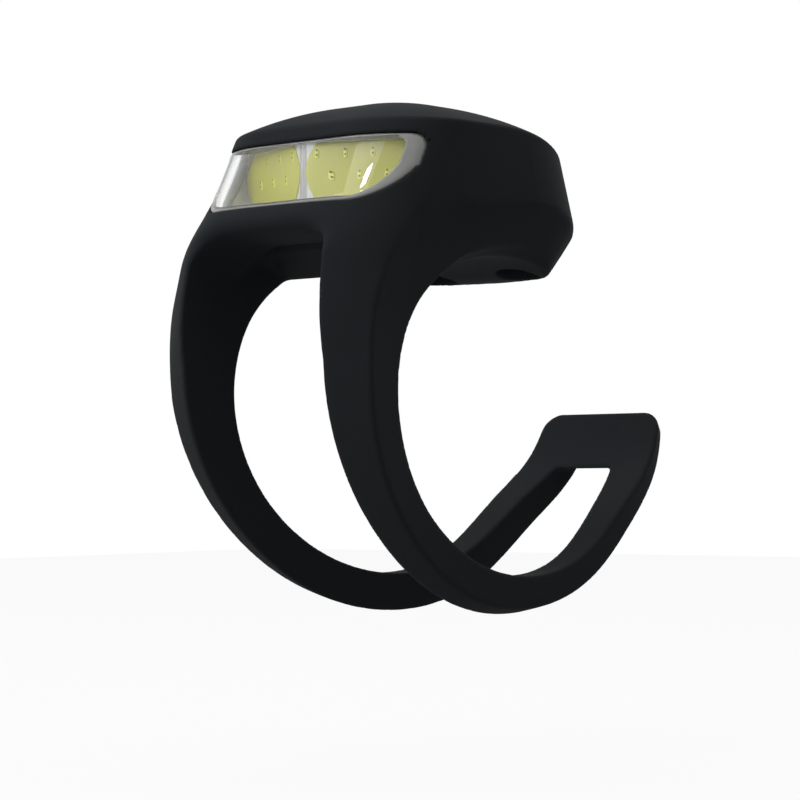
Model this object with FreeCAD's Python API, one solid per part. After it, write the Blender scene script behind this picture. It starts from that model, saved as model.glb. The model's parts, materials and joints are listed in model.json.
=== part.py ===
# Clip-on bicycle headlight: a sealed light pod in a rubber skin whose two-legged strap
# passes under the handlebar. Millimetres. The origin is the axis of the largest handlebar
# that the light fits, X runs along the bar, the light shines along -Y, and Z is up.
import FreeCAD
import Part
import math
import os

V = FreeCAD.Vector

# Handlebar and saddle
BAR_DIAMETER = 31.8
SADDLE_RADIUS = 26.4
SADDLE_FLOOR = 1.1

# Coin cells, which set the width of the pod around them
CELL_RADIUS = 10.0
CELL_HEIGHT = 3.2
CELL_RIM_STEP = 0.25
CELL_CAP_INSET = 1.2
CELL_EDGE = 0.3
CELL_CLEAR = 0.2

# Rubber skin around the pod: plan sizes at three levels, measured from the saddle's top
BASE_DROP = 2.4
GIRTH_RISE = 4.3
RIM_RISE = 12.3
DOME_HEIGHT = 3.2
DOME_FULLNESS = 2.3
DOME_STEPS = (0.95, 0.87, 0.76, 0.62, 0.46, 0.28, 0.10)
DOME_CENTRE_Y = -6.0
PLAN_CENTRE_Y = -0.9
GIRTH_MARGIN = 6.6
RIM_INSET = 1.6
BASE_INSET = 3.8
SHOULDER_BASE_INSET = 0.5
BACK_BASE_INSET = 1.7
GIRTH_FALL = 2.9
RIM_FALL = 3.0
FRONT_BASE = 27.0
FRONT_GIRTH = 23.5
FRONT_RIM = 19.3
CORNER_RADIUS = 8.8
SKIN_WALL = 1.7
POD_FIT = 0.05
TOP_WALL_SHARE = 0.8
HEEL_Y = -15.0
HEEL_ANGLE = 20.0

# Relief pockets in the underside of the saddle
POCKET_X = 5.9
POCKET_Y = 8.8
POCKET_RADIUS = 2.5
POCKET_DEPTH = 2.0

# Window in the front of the skin
WINDOW_SIDE = 1.1
WINDOW_BOTTOM_RISE = 3.5
WINDOW_HEIGHT = 7.15
WINDOW_TOP_RADIUS = 2.0
WINDOW_BOTTOM_RADIUS = 4.6
WINDOW_DEPTH_Y = 14.2
LENS_FIT = 0.05
LENS_SINK = 0.1

# Strap: its inner line in the side view, from the saddle round to the tip (y, z)
STRAP_LINE = (
    (-9.5, 14.2), (-16.8, 8.9), (-19.7, 1.5), (-17.2, -8.2), (-9.5, -15.5),
    (2.5, -19.1), (14.5, -17.1), (23.5, -10.9), (29.5, -5.7), (32.0, -1.0),
)
# Strap sizes at seven stations from its root to its tip, its half widths as insets from the
# body's half width at the rim. The lean turns the upper sections towards the horizontal, where
# the legs run into the body.
STRAP_STATIONS = (0.0, 0.10, 0.20, 0.40, 0.60, 0.84, 1.0)
STRAP_INNER_INSET = (1.7, 1.8, 1.8, 2.8, 3.9, 5.0, 6.5)
STRAP_OUTER_INSET = (0.4, 0.2, 0.7, 2.7, 4.5, 5.3, 7.5)
STRAP_THICKNESS = (9.0, 7.6, 5.6, 3.9, 3.5, 2.8, 1.8)
STRAP_CROWN = (8.5, 5.2, 4.4, 2.1, 1.4, 1.2, 0.5)
STRAP_FULLNESS = (3.0, 2.4, 2.0, 2.0, 2.0, 2.0, 2.0)
STRAP_LEAN = (50.0, 31.0, 0.0, 0.0, 0.0, 0.0, 0.0)
STRAP_SECTIONS = 15
CROWN_POINTS = 9
TIP_CORNER = 2.8
# Gap between the legs, from under the chin to the slot's end in the tail
GAP_STATIONS = (0.07, 0.20, 0.60, 0.84, 0.944)
GAP_INNER_INSET = (5.2, 5.2, 7.6, 9.7, 11.7)
GAP_OUTER_INSET = (6.3, 5.3, 7.6, 9.7, 11.7)
GAP_INWARD = 3.0
GAP_BEYOND = 4.0
# Chin between the legs, in the side view: its slanted face, its crease and the roll in front
CHIN_LINE = ((-12.0, 12.9), (-16.4, 15.6), (-16.8, 16.2), (-21.5, 16.9), (-24.8, 18.5))
CHIN_CLEAR_Z = 8.5
CHIN_FRONT_INSET = 7.4
CHIN_TAPER_Y = (-14.0, -26.0)

# Flexing places of the strap: where they lie along it, and the knuckles that stand for them
FRONT_FLEX = 0.205
TAIL_FLEX = 0.615
FRONT_KNUCKLE_RADIUS = 4.3
TAIL_KNUCKLE_RADIUS = 2.75
KNUCKLE_GAP = 0.15

# Press pad on the dome
PAD_RADIUS = 7.0
PAD_Y = -5.0
PAD_GAP = 0.08
PAD_FLANGE = 0.8
PAD_FLANGE_THICKNESS = 0.4
PAD_LIP = 0.6
NUB_RADIUS = 1.5
PAD_TRAVEL = 0.45

# Pod shells
POD_WALL = 1.4
POD_PLATE = 1.1
POD_BASE_PLATE = 1.2
SEAL_THICKNESS = 0.4
POD_SPLIT_RISE = 1.75
SCREW_ANGLE = 39.7
BOSS_CLEAR = 0.6
BOSS_RADIUS = 1.9
SCREW_RADIUS = 0.95
SCREW_LENGTH = 6.0
SCREW_TIP_RADIUS = 0.3
SCREW_TIP_LENGTH = 0.8
SCREW_BORE_SPARE = 1.0
SCREW_HEAD_RADIUS = 1.7
SCREW_HEAD_HEIGHT = 0.75
SCREW_CROSS = (2.0, 0.4, 0.4)
SCREW_FIT = 0.05

# Battery door, contacts and holder
DOOR_COLLAR = 0.5
DOOR_FIT = 0.08
DOOR_LUG_REACH = 0.7
DOOR_LUG_THICKNESS = 0.55
DOOR_LUG_COUNT = 3
DOOR_LUG_DEG = 26.0
DOOR_NOTCH_DEG = 30.0
COIN_SLOT = (12.0, 1.5, 0.6)
DOOR_SEAL_WIDTH = 1.1
DOOR_SEAL_THICKNESS = 0.3
CONTACT_THICKNESS = 0.2
STAR_HUB_RADIUS = 3.0
STAR_REACH = 7.0
STAR_HALF = 1.0
STAR_FINGERS = 3
CLIP_HALF = 1.6
CLIP_REACH = 4.0
CLIP_DROP = 2.4
HOLDER_WALL = 1.1
HOLDER_SKIRT = 0.5
HOLDER_FLOOR = 1.2
HOLDER_SLOT_HALF = 2.0
HOLDER_FIT = 0.15

# Main board and what it carries
BOARD_THICKNESS = 0.8
BOARD_SIDE_MARGIN = 1.0
BOARD_FRONT_MARGIN = 2.4
BOARD_FIT = 0.2
CHIP_SIDE = 3.0
CHIP_HEIGHT = 0.7
CHIP_STAND = 0.1
DRIVER_PLACE = (-5.4, 1.2)
CONTROLLER_PLACE = (5.4, 1.2)
PIN_WIDTH = 0.24
PIN_PITCH = 0.75
PIN_REACH = 0.5
PIN_THICKNESS = 0.15
PASSIVE_SIZE = (1.6, 0.8, 0.5)
PASSIVE_PLACES = (
    (-7.2, -2.4), (-7.2, -4.4), (7.2, -2.0), (7.2, -3.8), (-2.2, 3.6), (0.4, 3.6), (-0.9, 5.2),
)
SWITCH_SIDE = 5.0
SWITCH_FIT = 0.15
SWITCH_SPARE = 0.2
SWITCH_HEIGHT = 2.0
PLUNGER_RADIUS = 1.1
PLUNGER_FIT = 0.08
PLUNGER_RISE = 0.6
PLUNGER_DEPTH = 0.5

# Light engine: two boards set in a V behind the window
VEE_ANGLE = 20.0
VEE_Y = -19.3
LED_BOARD_SIDE = 2.6
LED_BOARD_REVEAL = 0.45
LED_BOARD_THICKNESS = 1.0
LED_BOARD_INSET = 0.1
PHOSPHOR_RIM = 0.45
PHOSPHOR_END = 0.35
PHOSPHOR_RISE = 0.1
PHOSPHOR_THICKNESS = 0.15
PHOSPHOR_INSET = 0.45
DIE_SIZE = 0.7
DIE_START = 1.9
DIE_PITCH = 3.0
DIE_COUNT = 3
DIE_ROW_OFFSET = 1.15
DIE_PROUD = 0.04
CARRIER_WALL = 1.4
CARRIER_BEYOND = 1.5
CARRIER_FIT = 0.05
LEAD_WIDTH = 3.0
LEAD_THICKNESS = 0.2
LEAD_LAP = 1.6
LEAD_CLEAR = 0.2

# Widths that follow from the sizes above
HALF_GIRTH = CELL_RADIUS + GIRTH_MARGIN
HALF_RIM = HALF_GIRTH - RIM_INSET
HALF_BASE = HALF_GIRTH - BASE_INSET
SHOULDER_BASE = HALF_RIM - SHOULDER_BASE_INSET
BACK_BASE_Y = PLAN_CENTRE_Y + HALF_GIRTH - BACK_BASE_INSET
WINDOW_HALF = HALF_RIM - WINDOW_SIDE
DOOR_RADIUS = CELL_RADIUS + CELL_CLEAR + DOOR_COLLAR
LUG_RADIUS = DOOR_RADIUS + DOOR_LUG_REACH
HOLDER_RADIUS = LUG_RADIUS + HOLDER_FIT + HOLDER_SKIRT
BOARD_HALF = CELL_RADIUS + BOARD_SIDE_MARGIN
BOARD_FRONT = CELL_RADIUS + BOARD_FRONT_MARGIN
SCREW_DISTANCE = HOLDER_RADIUS + BOSS_CLEAR + BOSS_RADIUS
SCREW_X = SCREW_DISTANCE * math.sin(math.radians(SCREW_ANGLE))
SCREW_Y = -SCREW_DISTANCE * math.cos(math.radians(SCREW_ANGLE))
LED_BOARD_LENGTH = (WINDOW_HALF - LED_BOARD_SIDE) / math.cos(math.radians(VEE_ANGLE))
LED_BOARD_HEIGHT = WINDOW_HEIGHT - LED_BOARD_REVEAL
PHOSPHOR_LENGTH = LED_BOARD_LENGTH - PHOSPHOR_INSET - PHOSPHOR_END
PHOSPHOR_HEIGHT = LED_BOARD_HEIGHT - 2 * PHOSPHOR_RIM
LEAD_X = SCREW_X - BOSS_RADIUS - LEAD_CLEAR - LEAD_WIDTH / 2

# Levels that follow from the sizes above
SADDLE_TOP = BAR_DIAMETER / 2
BASE_Z = SADDLE_TOP - BASE_DROP
GIRTH_Z = SADDLE_TOP + GIRTH_RISE
RIM_Z = SADDLE_TOP + RIM_RISE
CAVITY_FLOOR = SADDLE_TOP + SADDLE_FLOOR
POD_BASE = CAVITY_FLOOR + POD_FIT
POD_TOP = RIM_Z - POD_FIT
PLATE_UNDER = POD_TOP - POD_PLATE
DOOR_TOP = POD_BASE + POD_BASE_PLATE
SPLIT_Z = POD_BASE + POD_SPLIT_RISE
WINDOW_BOTTOM = SADDLE_TOP + WINDOW_BOTTOM_RISE
WINDOW_TOP = WINDOW_BOTTOM + WINDOW_HEIGHT
CELL_BASE = DOOR_TOP + DOOR_SEAL_THICKNESS + CONTACT_THICKNESS
CELL_TOP = CELL_BASE + 2 * CELL_HEIGHT
BOARD_Z = CELL_TOP + CONTACT_THICKNESS
BOARD_TOP = BOARD_Z + BOARD_THICKNESS
SWITCH_TOP = BOARD_TOP + SWITCH_HEIGHT
PLUNGER_TOP = SWITCH_TOP + PLUNGER_RISE
POD_OFFSET = SKIN_WALL + POD_FIT
POD_INNER = POD_OFFSET + POD_WALL
FAR = 60.0
CLOSE = 0.05


def box(x0, x1, y0, y1, z0, z1):
    return Part.makeBox(x1 - x0, y1 - y0, z1 - z0, V(x0, y0, z0))


def centred_box(x, y, length, width, z0, z1):
    return box(x - length / 2, x + length / 2, y - width / 2, y + width / 2, z0, z1)


def disc(radius, z0, z1, x=0.0, y=0.0):
    return Part.makeCylinder(radius, z1 - z0, V(x, y, z0))


def ring(outer, inner, z0, z1, x=0.0, y=0.0):
    return disc(outer, z0, z1, x, y).cut(disc(inner, z0, z1, x, y))


def mirrored(shape):
    return shape.mirror(V(0, 0, 0), V(1, 0, 0))


def between(value, knots, sizes):
    """The size at a value, in straight steps between the knots."""
    for i in range(len(knots) - 1):
        if value <= knots[i + 1]:
            share = (value - knots[i]) / (knots[i + 1] - knots[i])
            return sizes[i] + share * (sizes[i + 1] - sizes[i])
    return sizes[-1]


# Plan outline of the body: round at the back, straight sides, round front corners


def plan_sizes(z):
    """Half width at the middle and at the shoulders, front reach and back of the skin at a level."""
    levels = (BASE_Z, GIRTH_Z, RIM_Z)
    half = between(z, levels, (HALF_BASE, HALF_GIRTH, HALF_RIM))
    shoulder = between(z, levels, (SHOULDER_BASE, HALF_RIM, HALF_RIM))
    front = between(z, levels, (FRONT_BASE, FRONT_GIRTH, FRONT_RIM))
    back = between(z, levels, (BACK_BASE_Y, PLAN_CENTRE_Y + HALF_GIRTH, PLAN_CENTRE_Y + HALF_RIM))
    return half, shoulder, front, back


def plan_wire(z, inset=0.0, scale=1.0, rise=0.0, fall=0.0):
    """Plan outline at a level, raised by the rise, with its back lowered by the fall."""
    half, shoulder, front, back = plan_sizes(z)
    half = half - inset
    shoulder = shoulder - inset
    front = -(front - inset)
    back = back - inset
    corner = CORNER_RADIUS - inset

    def at(x, y, lowered=0.0):
        return V(x * scale, DOME_CENTRE_Y + (y - DOME_CENTRE_Y) * scale, z + rise - lowered)

    bend = corner * math.sqrt(0.5)
    side = at(half, PLAN_CENTRE_Y)
    side_end = at(shoulder, front + corner)
    corner_mid = at(shoulder - corner + bend, front + corner - bend)
    face_end = at(shoulder - corner, front)
    face_start = at(corner - shoulder, front)
    far_mid = at(corner - shoulder - bend, front + corner - bend)
    far_end = at(-shoulder, front + corner)
    far_side = at(-half, PLAN_CENTRE_Y)
    edges = [
        Part.LineSegment(side, side_end).toShape(),
        Part.Arc(side_end, corner_mid, face_end).toShape(),
        Part.LineSegment(face_end, face_start).toShape(),
        Part.Arc(face_start, far_mid, far_end).toShape(),
        Part.LineSegment(far_end, far_side).toShape(),
        Part.Arc(far_side, at(0, back, fall), side).toShape(),
    ]
    return Part.Wire(edges)


def dome_rise(share):
    """Height of the crown at a share of the way from its middle to the rim."""
    return DOME_HEIGHT * (1 - share ** DOME_FULLNESS)


def outer_block():
    """The skin's outside: the chamfer up to the girth, the tapered sides and the crowned top."""
    wires = [plan_wire(BASE_Z), plan_wire(GIRTH_Z, fall=GIRTH_FALL), plan_wire(RIM_Z, fall=RIM_FALL)]
    for share in DOME_STEPS:
        fall = RIM_FALL * share * share if share > DOME_STEPS[-1] else 0.0
        wires.append(plan_wire(RIM_Z, 0.0, share, dome_rise(share), fall))
    return Part.makeLoft(wires, True, True)


OUTER_BLOCK = outer_block()


def heel(inset):
    """The wedge that the pod and its cavity leave free over the chin."""
    level = CAVITY_FLOOR + inset - SKIN_WALL
    wedge = box(-FAR, FAR, HEEL_Y - FAR, HEEL_Y + FAR, level - FAR, level)
    wedge.rotate(V(0, HEEL_Y, level), V(1, 0, 0), -HEEL_ANGLE)
    return wedge


def body_block(inset, z0, z1):
    """The body's inside, drawn in from the skin's outside by the inset, between two levels."""
    levels = [z0] + [z for z in (BASE_Z, GIRTH_Z, RIM_Z) if z0 < z < z1] + [z1]
    block = Part.makeLoft([plan_wire(z, inset) for z in levels], True, True)
    roof = OUTER_BLOCK.copy()
    roof.translate(V(0, 0, -inset * TOP_WALL_SHARE))
    return block.common(roof).cut(heel(inset))


def crown_behind(y):
    """Height of the crown's surface on the middle plane, behind its top."""
    share = (y - DOME_CENTRE_Y) / (PLAN_CENTRE_Y + HALF_RIM - DOME_CENTRE_Y)
    return RIM_Z + dome_rise(share) - RIM_FALL * share * share


# Strap


def strap_curve():
    curve = Part.BSplineCurve()
    curve.interpolate([V(0, y, z) for y, z in STRAP_LINE])
    return curve


STRAP_CURVE = strap_curve()
STRAP_LENGTH = STRAP_CURVE.length()


def strap_size(share, sizes):
    return between(share, STRAP_STATIONS, sizes)


def strap_frame(share):
    """Point on the strap's inner line, its heading and the direction of its thickness."""
    place = STRAP_CURVE.parameterAtDistance(share * STRAP_LENGTH)
    point = STRAP_CURVE.value(place)
    heading = STRAP_CURVE.tangent(place)[0].normalize()
    outward = heading.cross(V(1, 0, 0)).normalize()
    lean = FreeCAD.Rotation(V(1, 0, 0), strap_size(share, STRAP_LEAN))
    return point, heading, lean.multVec(outward)


def crown_curve(at, half, thick, crown, fullness):
    """The strap's outer face across its width."""
    points = []
    for i in range(CROWN_POINTS):
        x = half * math.cos(math.pi * i / (CROWN_POINTS - 1))
        points.append(at(x, thick + crown * (1 - (abs(x) / half) ** fullness)))
    curve = Part.BSplineCurve()
    curve.interpolate(points)
    return curve.toShape()


def strap_wire(share):
    point, heading, outward = strap_frame(share)
    inner = HALF_RIM - strap_size(share, STRAP_INNER_INSET)
    outer = HALF_RIM - strap_size(share, STRAP_OUTER_INSET)
    thick = strap_size(share, STRAP_THICKNESS)
    crown = strap_size(share, STRAP_CROWN)
    fullness = strap_size(share, STRAP_FULLNESS)

    def at(x, r):
        return point + V(x, 0, 0) + outward * r

    edges = [
        Part.LineSegment(at(-inner, 0), at(inner, 0)).toShape(),
        Part.LineSegment(at(inner, 0), at(outer, thick)).toShape(),
        crown_curve(at, outer, thick, crown, fullness),
        Part.LineSegment(at(-outer, thick), at(-inner, 0)).toShape(),
    ]
    return Part.Wire(edges)


def gap_half(share):
    """Half width of the gap at the strap's inner face and at its outer face."""
    inner = HALF_RIM - between(share, GAP_STATIONS, GAP_INNER_INSET)
    outer = HALF_RIM - between(share, GAP_STATIONS, GAP_OUTER_INSET)
    return inner, outer


def gap_wire(share):
    point, heading, outward = strap_frame(share)
    depth = strap_size(share, STRAP_THICKNESS) + strap_size(share, STRAP_CROWN)
    inner, outer = gap_half(share)
    draft = (outer - inner) / depth
    low = -GAP_INWARD
    high = depth + GAP_BEYOND
    corners = [(-1, low), (1, low), (1, high), (-1, high)]
    points = [point + V(side * (inner + draft * r), 0, 0) + outward * r for side, r in corners]
    return Part.makePolygon(points + points[:1])


def strap_band():
    shares = [i / (STRAP_SECTIONS - 1) for i in range(STRAP_SECTIONS)]
    band = Part.makeLoft([strap_wire(share) for share in shares], True, False)
    tip, heading, outward = strap_frame(1.0)
    ends = [e for e in band.Edges
            if abs((e.CenterOfMass - tip).dot(heading)) < CLOSE and abs(e.CenterOfMass.x) > TIP_CORNER]
    return band.makeFillet(TIP_CORNER, ends)


def strap_gap():
    """The long opening between the two legs, from under the chin to the slot's end."""
    start = GAP_STATIONS[0]
    reach = GAP_STATIONS[-1] - start
    count = STRAP_SECTIONS - 1
    shares = [start + reach * i / count for i in range(count + 1)]
    return Part.makeLoft([gap_wire(share) for share in shares], True, False)


def knuckle_axis(share):
    """Centre of the strap's thickness at a flexing place."""
    point, heading, outward = strap_frame(share)
    thick = strap_size(share, STRAP_THICKNESS)
    gap = gap_half(share)[1] / (HALF_RIM - strap_size(share, STRAP_OUTER_INSET))
    crown = strap_size(share, STRAP_CROWN) * (1 - gap * gap)
    return point + outward * ((thick + crown) / 2), heading


def knuckle(share, radius):
    centre, heading = knuckle_axis(share)
    return Part.makeCylinder(radius, 2 * FAR, centre - V(FAR, 0, 0), V(1, 0, 0))


def half_space(share):
    """A block that holds everything past a flexing place, along the strap's heading."""
    centre, heading = knuckle_axis(share)
    block = Part.makeBox(2 * FAR, 2 * FAR, 2 * FAR, V(-FAR, -FAR, 0))
    turn = FreeCAD.Rotation(V(0, 0, 1), heading)
    block.Placement = FreeCAD.Placement(centre, turn)
    return block


# Rubber skin


def window_wire(grow, y):
    """Outline of the window in the front view, with its larger corners at the bottom."""
    half = WINDOW_HALF + grow
    low = WINDOW_BOTTOM - grow
    high = WINDOW_TOP + grow
    top_r = WINDOW_TOP_RADIUS + grow
    low_r = WINDOW_BOTTOM_RADIUS + grow
    slant = math.sqrt(0.5)

    def arc(cx, cz, r, sx, sz):
        return Part.Arc(V(cx + sx * r, y, cz), V(cx + sx * r * slant, y, cz + sz * r * slant),
                        V(cx, y, cz + sz * r)).toShape()

    right_low = (half - low_r, low + low_r)
    right_top = (half - top_r, high - top_r)
    edges = [
        arc(right_low[0], right_low[1], low_r, 1, -1),
        arc(-right_low[0], right_low[1], low_r, -1, -1),
        arc(right_top[0], right_top[1], top_r, 1, 1),
        arc(-right_top[0], right_top[1], top_r, -1, 1),
        Part.LineSegment(V(-right_low[0], y, low), V(right_low[0], y, low)).toShape(),
        Part.LineSegment(V(-right_top[0], y, high), V(right_top[0], y, high)).toShape(),
        Part.LineSegment(V(half, y, right_low[1]), V(half, y, right_top[1])).toShape(),
        Part.LineSegment(V(-half, y, right_low[1]), V(-half, y, right_top[1])).toShape(),
    ]
    return Part.Wire(Part.__sortEdges__(edges))


def window_block(grow=0.0):
    face = Part.Face(window_wire(grow, -FAR))
    return face.extrude(V(0, FAR - WINDOW_DEPTH_Y, 0))


def saddle_space():
    return Part.makeCylinder(SADDLE_RADIUS, 2 * FAR, V(-FAR, 0, SADDLE_TOP - SADDLE_RADIUS), V(1, 0, 0))


def pockets():
    floor = SADDLE_TOP - SADDLE_RADIUS + math.sqrt(SADDLE_RADIUS ** 2 - POCKET_Y ** 2)
    one = disc(POCKET_RADIUS, BASE_Z - 2, floor + POCKET_DEPTH, POCKET_X, POCKET_Y)
    return one.fuse(mirrored(one))


def chin_space():
    """Clears the gap between the legs up to the chin under the window."""
    start = CHIN_LINE[0]
    end = CHIN_LINE[-1]
    line = [V(0, y, z) for y, z in CHIN_LINE]
    outline = [V(0, start[0], CHIN_CLEAR_Z)] + line + [V(0, -FAR, end[1]), V(0, -FAR, CHIN_CLEAR_Z)]
    profile = Part.Face(Part.makePolygon(outline + outline[:1]))
    profile.translate(V(-FAR, 0, 0))
    side = profile.extrude(V(2 * FAR, 0, 0))
    wide = HALF_RIM - GAP_INNER_INSET[0]
    narrow = HALF_RIM - CHIN_FRONT_INSET
    back_y, front_y = CHIN_TAPER_Y
    plan = [(wide, 0), (wide, back_y), (narrow, front_y), (narrow, -FAR)]
    plan = [V(x, y, 0) for x, y in plan] + [V(-x, y, 0) for x, y in reversed(plan)]
    column = Part.Face(Part.makePolygon(plan + plan[:1])).extrude(V(0, 0, FAR))
    return side.common(column)


def rubber():
    """The whole moulding, before the strap is parted at its flexing places."""
    block = OUTER_BLOCK.cut(saddle_space())
    band = strap_band().cut(strap_gap())
    whole = block.fuse(band).cut(chin_space()).cut(pockets())
    whole = whole.cut(body_block(SKIN_WALL, CAVITY_FLOOR, RIM_Z))
    whole = whole.cut(window_block())
    pad_hole = disc(PAD_RADIUS, RIM_Z - 1, FAR, 0, PAD_Y)
    step = disc(PAD_RADIUS + PAD_FLANGE + PAD_GAP, RIM_Z - 1, pad_lip_z(), 0, PAD_Y)
    return whole.cut(pad_hole).cut(step).removeSplitter()


def pad_lip_z():
    """Underside of the skin's lip that keeps the press pad in."""
    return crown_behind(PAD_Y + PAD_RADIUS + PAD_FLANGE) - PAD_LIP


def skin_and_strap():
    whole = rubber()
    lower = half_space(FRONT_FLEX)
    hinge = knuckle(FRONT_FLEX, FRONT_KNUCKLE_RADIUS)
    loop_side = whole.common(lower.fuse(hinge))
    skin = whole.cut(lower).cut(knuckle(FRONT_FLEX, FRONT_KNUCKLE_RADIUS + KNUCKLE_GAP))
    skin = max(skin.Solids, key=lambda solid: solid.Volume)
    beyond = half_space(TAIL_FLEX)
    tail = loop_side.common(beyond.fuse(knuckle(TAIL_FLEX, TAIL_KNUCKLE_RADIUS)))
    loop = loop_side.cut(beyond).cut(knuckle(TAIL_FLEX, TAIL_KNUCKLE_RADIUS + KNUCKLE_GAP))
    right, left = sorted(loop.Solids, key=lambda leg: -leg.CenterOfMass.x)
    return skin, right, left, tail


def press_pad():
    lip = pad_lip_z()
    flange_top = lip - PAD_GAP
    flange_under = flange_top - PAD_FLANGE_THICKNESS
    stem = disc(PAD_RADIUS - PAD_GAP, flange_under, FAR, 0, PAD_Y).common(OUTER_BLOCK)
    flange = disc(PAD_RADIUS + PAD_FLANGE, flange_under, flange_top, 0, PAD_Y)
    nub = disc(NUB_RADIUS, PLUNGER_TOP, flange_under, 0, PAD_Y)
    return stem.fuse(flange).fuse(nub).removeSplitter()


# Pod shells


def screw_places():
    return [(SCREW_X, SCREW_Y), (-SCREW_X, SCREW_Y)]


def pod_walls(z0, z1):
    return body_block(POD_OFFSET, z0, z1).cut(body_block(POD_INNER, z0, z1))


def pod_lower_shell():
    top = SPLIT_Z - SEAL_THICKNESS / 2
    shell = body_block(POD_OFFSET, POD_BASE, top)
    shell = shell.cut(body_block(POD_INNER, DOOR_TOP, top))
    for x, y in screw_places():
        shell = shell.fuse(disc(BOSS_RADIUS, POD_BASE, SPLIT_Z, x, y))
    for x, y in screw_places():
        shell = shell.cut(disc(SCREW_RADIUS + SCREW_FIT, POD_BASE, SPLIT_Z, x, y))
        head_top = POD_BASE + SCREW_HEAD_HEIGHT
        shell = shell.cut(disc(SCREW_HEAD_RADIUS + SCREW_FIT, POD_BASE, head_top, x, y))
    shell = shell.cut(disc(DOOR_RADIUS + DOOR_FIT, POD_BASE, DOOR_TOP))
    for turn in lug_turns():
        shell = shell.cut(lug(turn + 180.0 / DOOR_LUG_COUNT, DOOR_NOTCH_DEG, POD_BASE, DOOR_TOP, DOOR_FIT))
    return shell.removeSplitter()


def pod_upper_shell():
    base = SPLIT_Z + SEAL_THICKNESS / 2
    shell = body_block(POD_OFFSET, base, POD_TOP).cut(body_block(POD_INNER, base, PLATE_UNDER))
    for x, y in screw_places():
        shell = shell.fuse(disc(BOSS_RADIUS, SPLIT_Z, PLATE_UNDER, x, y))
    for x, y in screw_places():
        bore_top = POD_BASE + SCREW_LENGTH + SCREW_BORE_SPARE
        shell = shell.cut(disc(SCREW_RADIUS + SCREW_FIT, SPLIT_Z, bore_top, x, y))
    shell = shell.cut(window_block(LENS_FIT))
    hole = SWITCH_SIDE / 2 + SWITCH_FIT
    shell = shell.cut(centred_box(0, PAD_Y, 2 * hole, 2 * hole, PLATE_UNDER, POD_TOP))
    return shell.removeSplitter()


def pod_seal():
    half = SEAL_THICKNESS / 2
    seal = pod_walls(SPLIT_Z - half, SPLIT_Z + half)
    return seal.removeSplitter()


def pod_screws():
    screws = []
    for x, y in screw_places():
        head = disc(SCREW_HEAD_RADIUS, POD_BASE, POD_BASE + SCREW_HEAD_HEIGHT, x, y)
        shank = disc(SCREW_RADIUS, POD_BASE, POD_BASE + SCREW_LENGTH, x, y)
        shank_end = V(x, y, POD_BASE + SCREW_LENGTH)
        tip = Part.makeCone(SCREW_RADIUS, SCREW_TIP_RADIUS, SCREW_TIP_LENGTH, shank_end)
        length, width, depth = SCREW_CROSS
        cross = centred_box(x, y, length, width, POD_BASE, POD_BASE + depth)
        cross = cross.fuse(centred_box(x, y, width, length, POD_BASE, POD_BASE + depth))
        screws.append(head.fuse(shank).fuse(tip).cut(cross).removeSplitter())
    return Part.makeCompound(screws)


# Battery: door, cells, holder and contacts


def lug_turns():
    return [i * 360.0 / DOOR_LUG_COUNT for i in range(DOOR_LUG_COUNT)]


def lug(turn, spread, z0, z1, grow=0.0):
    """A wedge of a ring outside the door's rim."""
    wedge = Part.makeCylinder(LUG_RADIUS + grow, z1 - z0, V(0, 0, z0), V(0, 0, 1), spread)
    wedge = wedge.cut(disc(DOOR_RADIUS - DOOR_COLLAR, z0, z1))
    wedge.rotate(V(0, 0, 0), V(0, 0, 1), turn - spread / 2)
    return wedge


def battery_door():
    door = disc(DOOR_RADIUS, POD_BASE, DOOR_TOP)
    collar_top = DOOR_TOP + DOOR_FIT + DOOR_LUG_THICKNESS
    door = door.fuse(ring(DOOR_RADIUS, DOOR_RADIUS - DOOR_COLLAR, DOOR_TOP, collar_top))
    for turn in lug_turns():
        door = door.fuse(lug(turn, DOOR_LUG_DEG, DOOR_TOP + DOOR_FIT, collar_top))
    length, width, depth = COIN_SLOT
    door = door.cut(centred_box(0, 0, length, width, POD_BASE, POD_BASE + depth))
    return door.removeSplitter()


def door_seal():
    outer = DOOR_RADIUS - DOOR_COLLAR
    return ring(outer, outer - DOOR_SEAL_WIDTH, DOOR_TOP, DOOR_TOP + DOOR_SEAL_THICKNESS)


def negative_contact():
    """Flat star on the door, with its fingers pushed up to the cell."""
    hub = disc(STAR_HUB_RADIUS, DOOR_TOP, DOOR_TOP + CONTACT_THICKNESS)
    for i in range(STAR_FINGERS):
        arm = box(0, STAR_REACH, -STAR_HALF, STAR_HALF, DOOR_TOP, DOOR_TOP + CONTACT_THICKNESS)
        finger = box(STAR_REACH - STAR_HALF, STAR_REACH, -STAR_HALF, STAR_HALF, DOOR_TOP, CELL_BASE)
        arm = arm.fuse(finger)
        arm.rotate(V(0, 0, 0), V(0, 0, 1), (i + 0.5) * 360.0 / STAR_FINGERS)
        hub = hub.fuse(arm)
    return hub.removeSplitter()


def coin_cell(z0):
    """A cell with its smaller negative face down and the can's rolled rim."""
    can = disc(CELL_RADIUS, z0 + CELL_RIM_STEP, z0 + CELL_HEIGHT)
    cap = disc(CELL_RADIUS - CELL_CAP_INSET, z0, z0 + CELL_HEIGHT)
    top = [e for e in can.Edges if abs(e.CenterOfMass.z - z0 - CELL_HEIGHT) < CLOSE]
    return can.makeFillet(CELL_EDGE, top).fuse(cap).removeSplitter()


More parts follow.
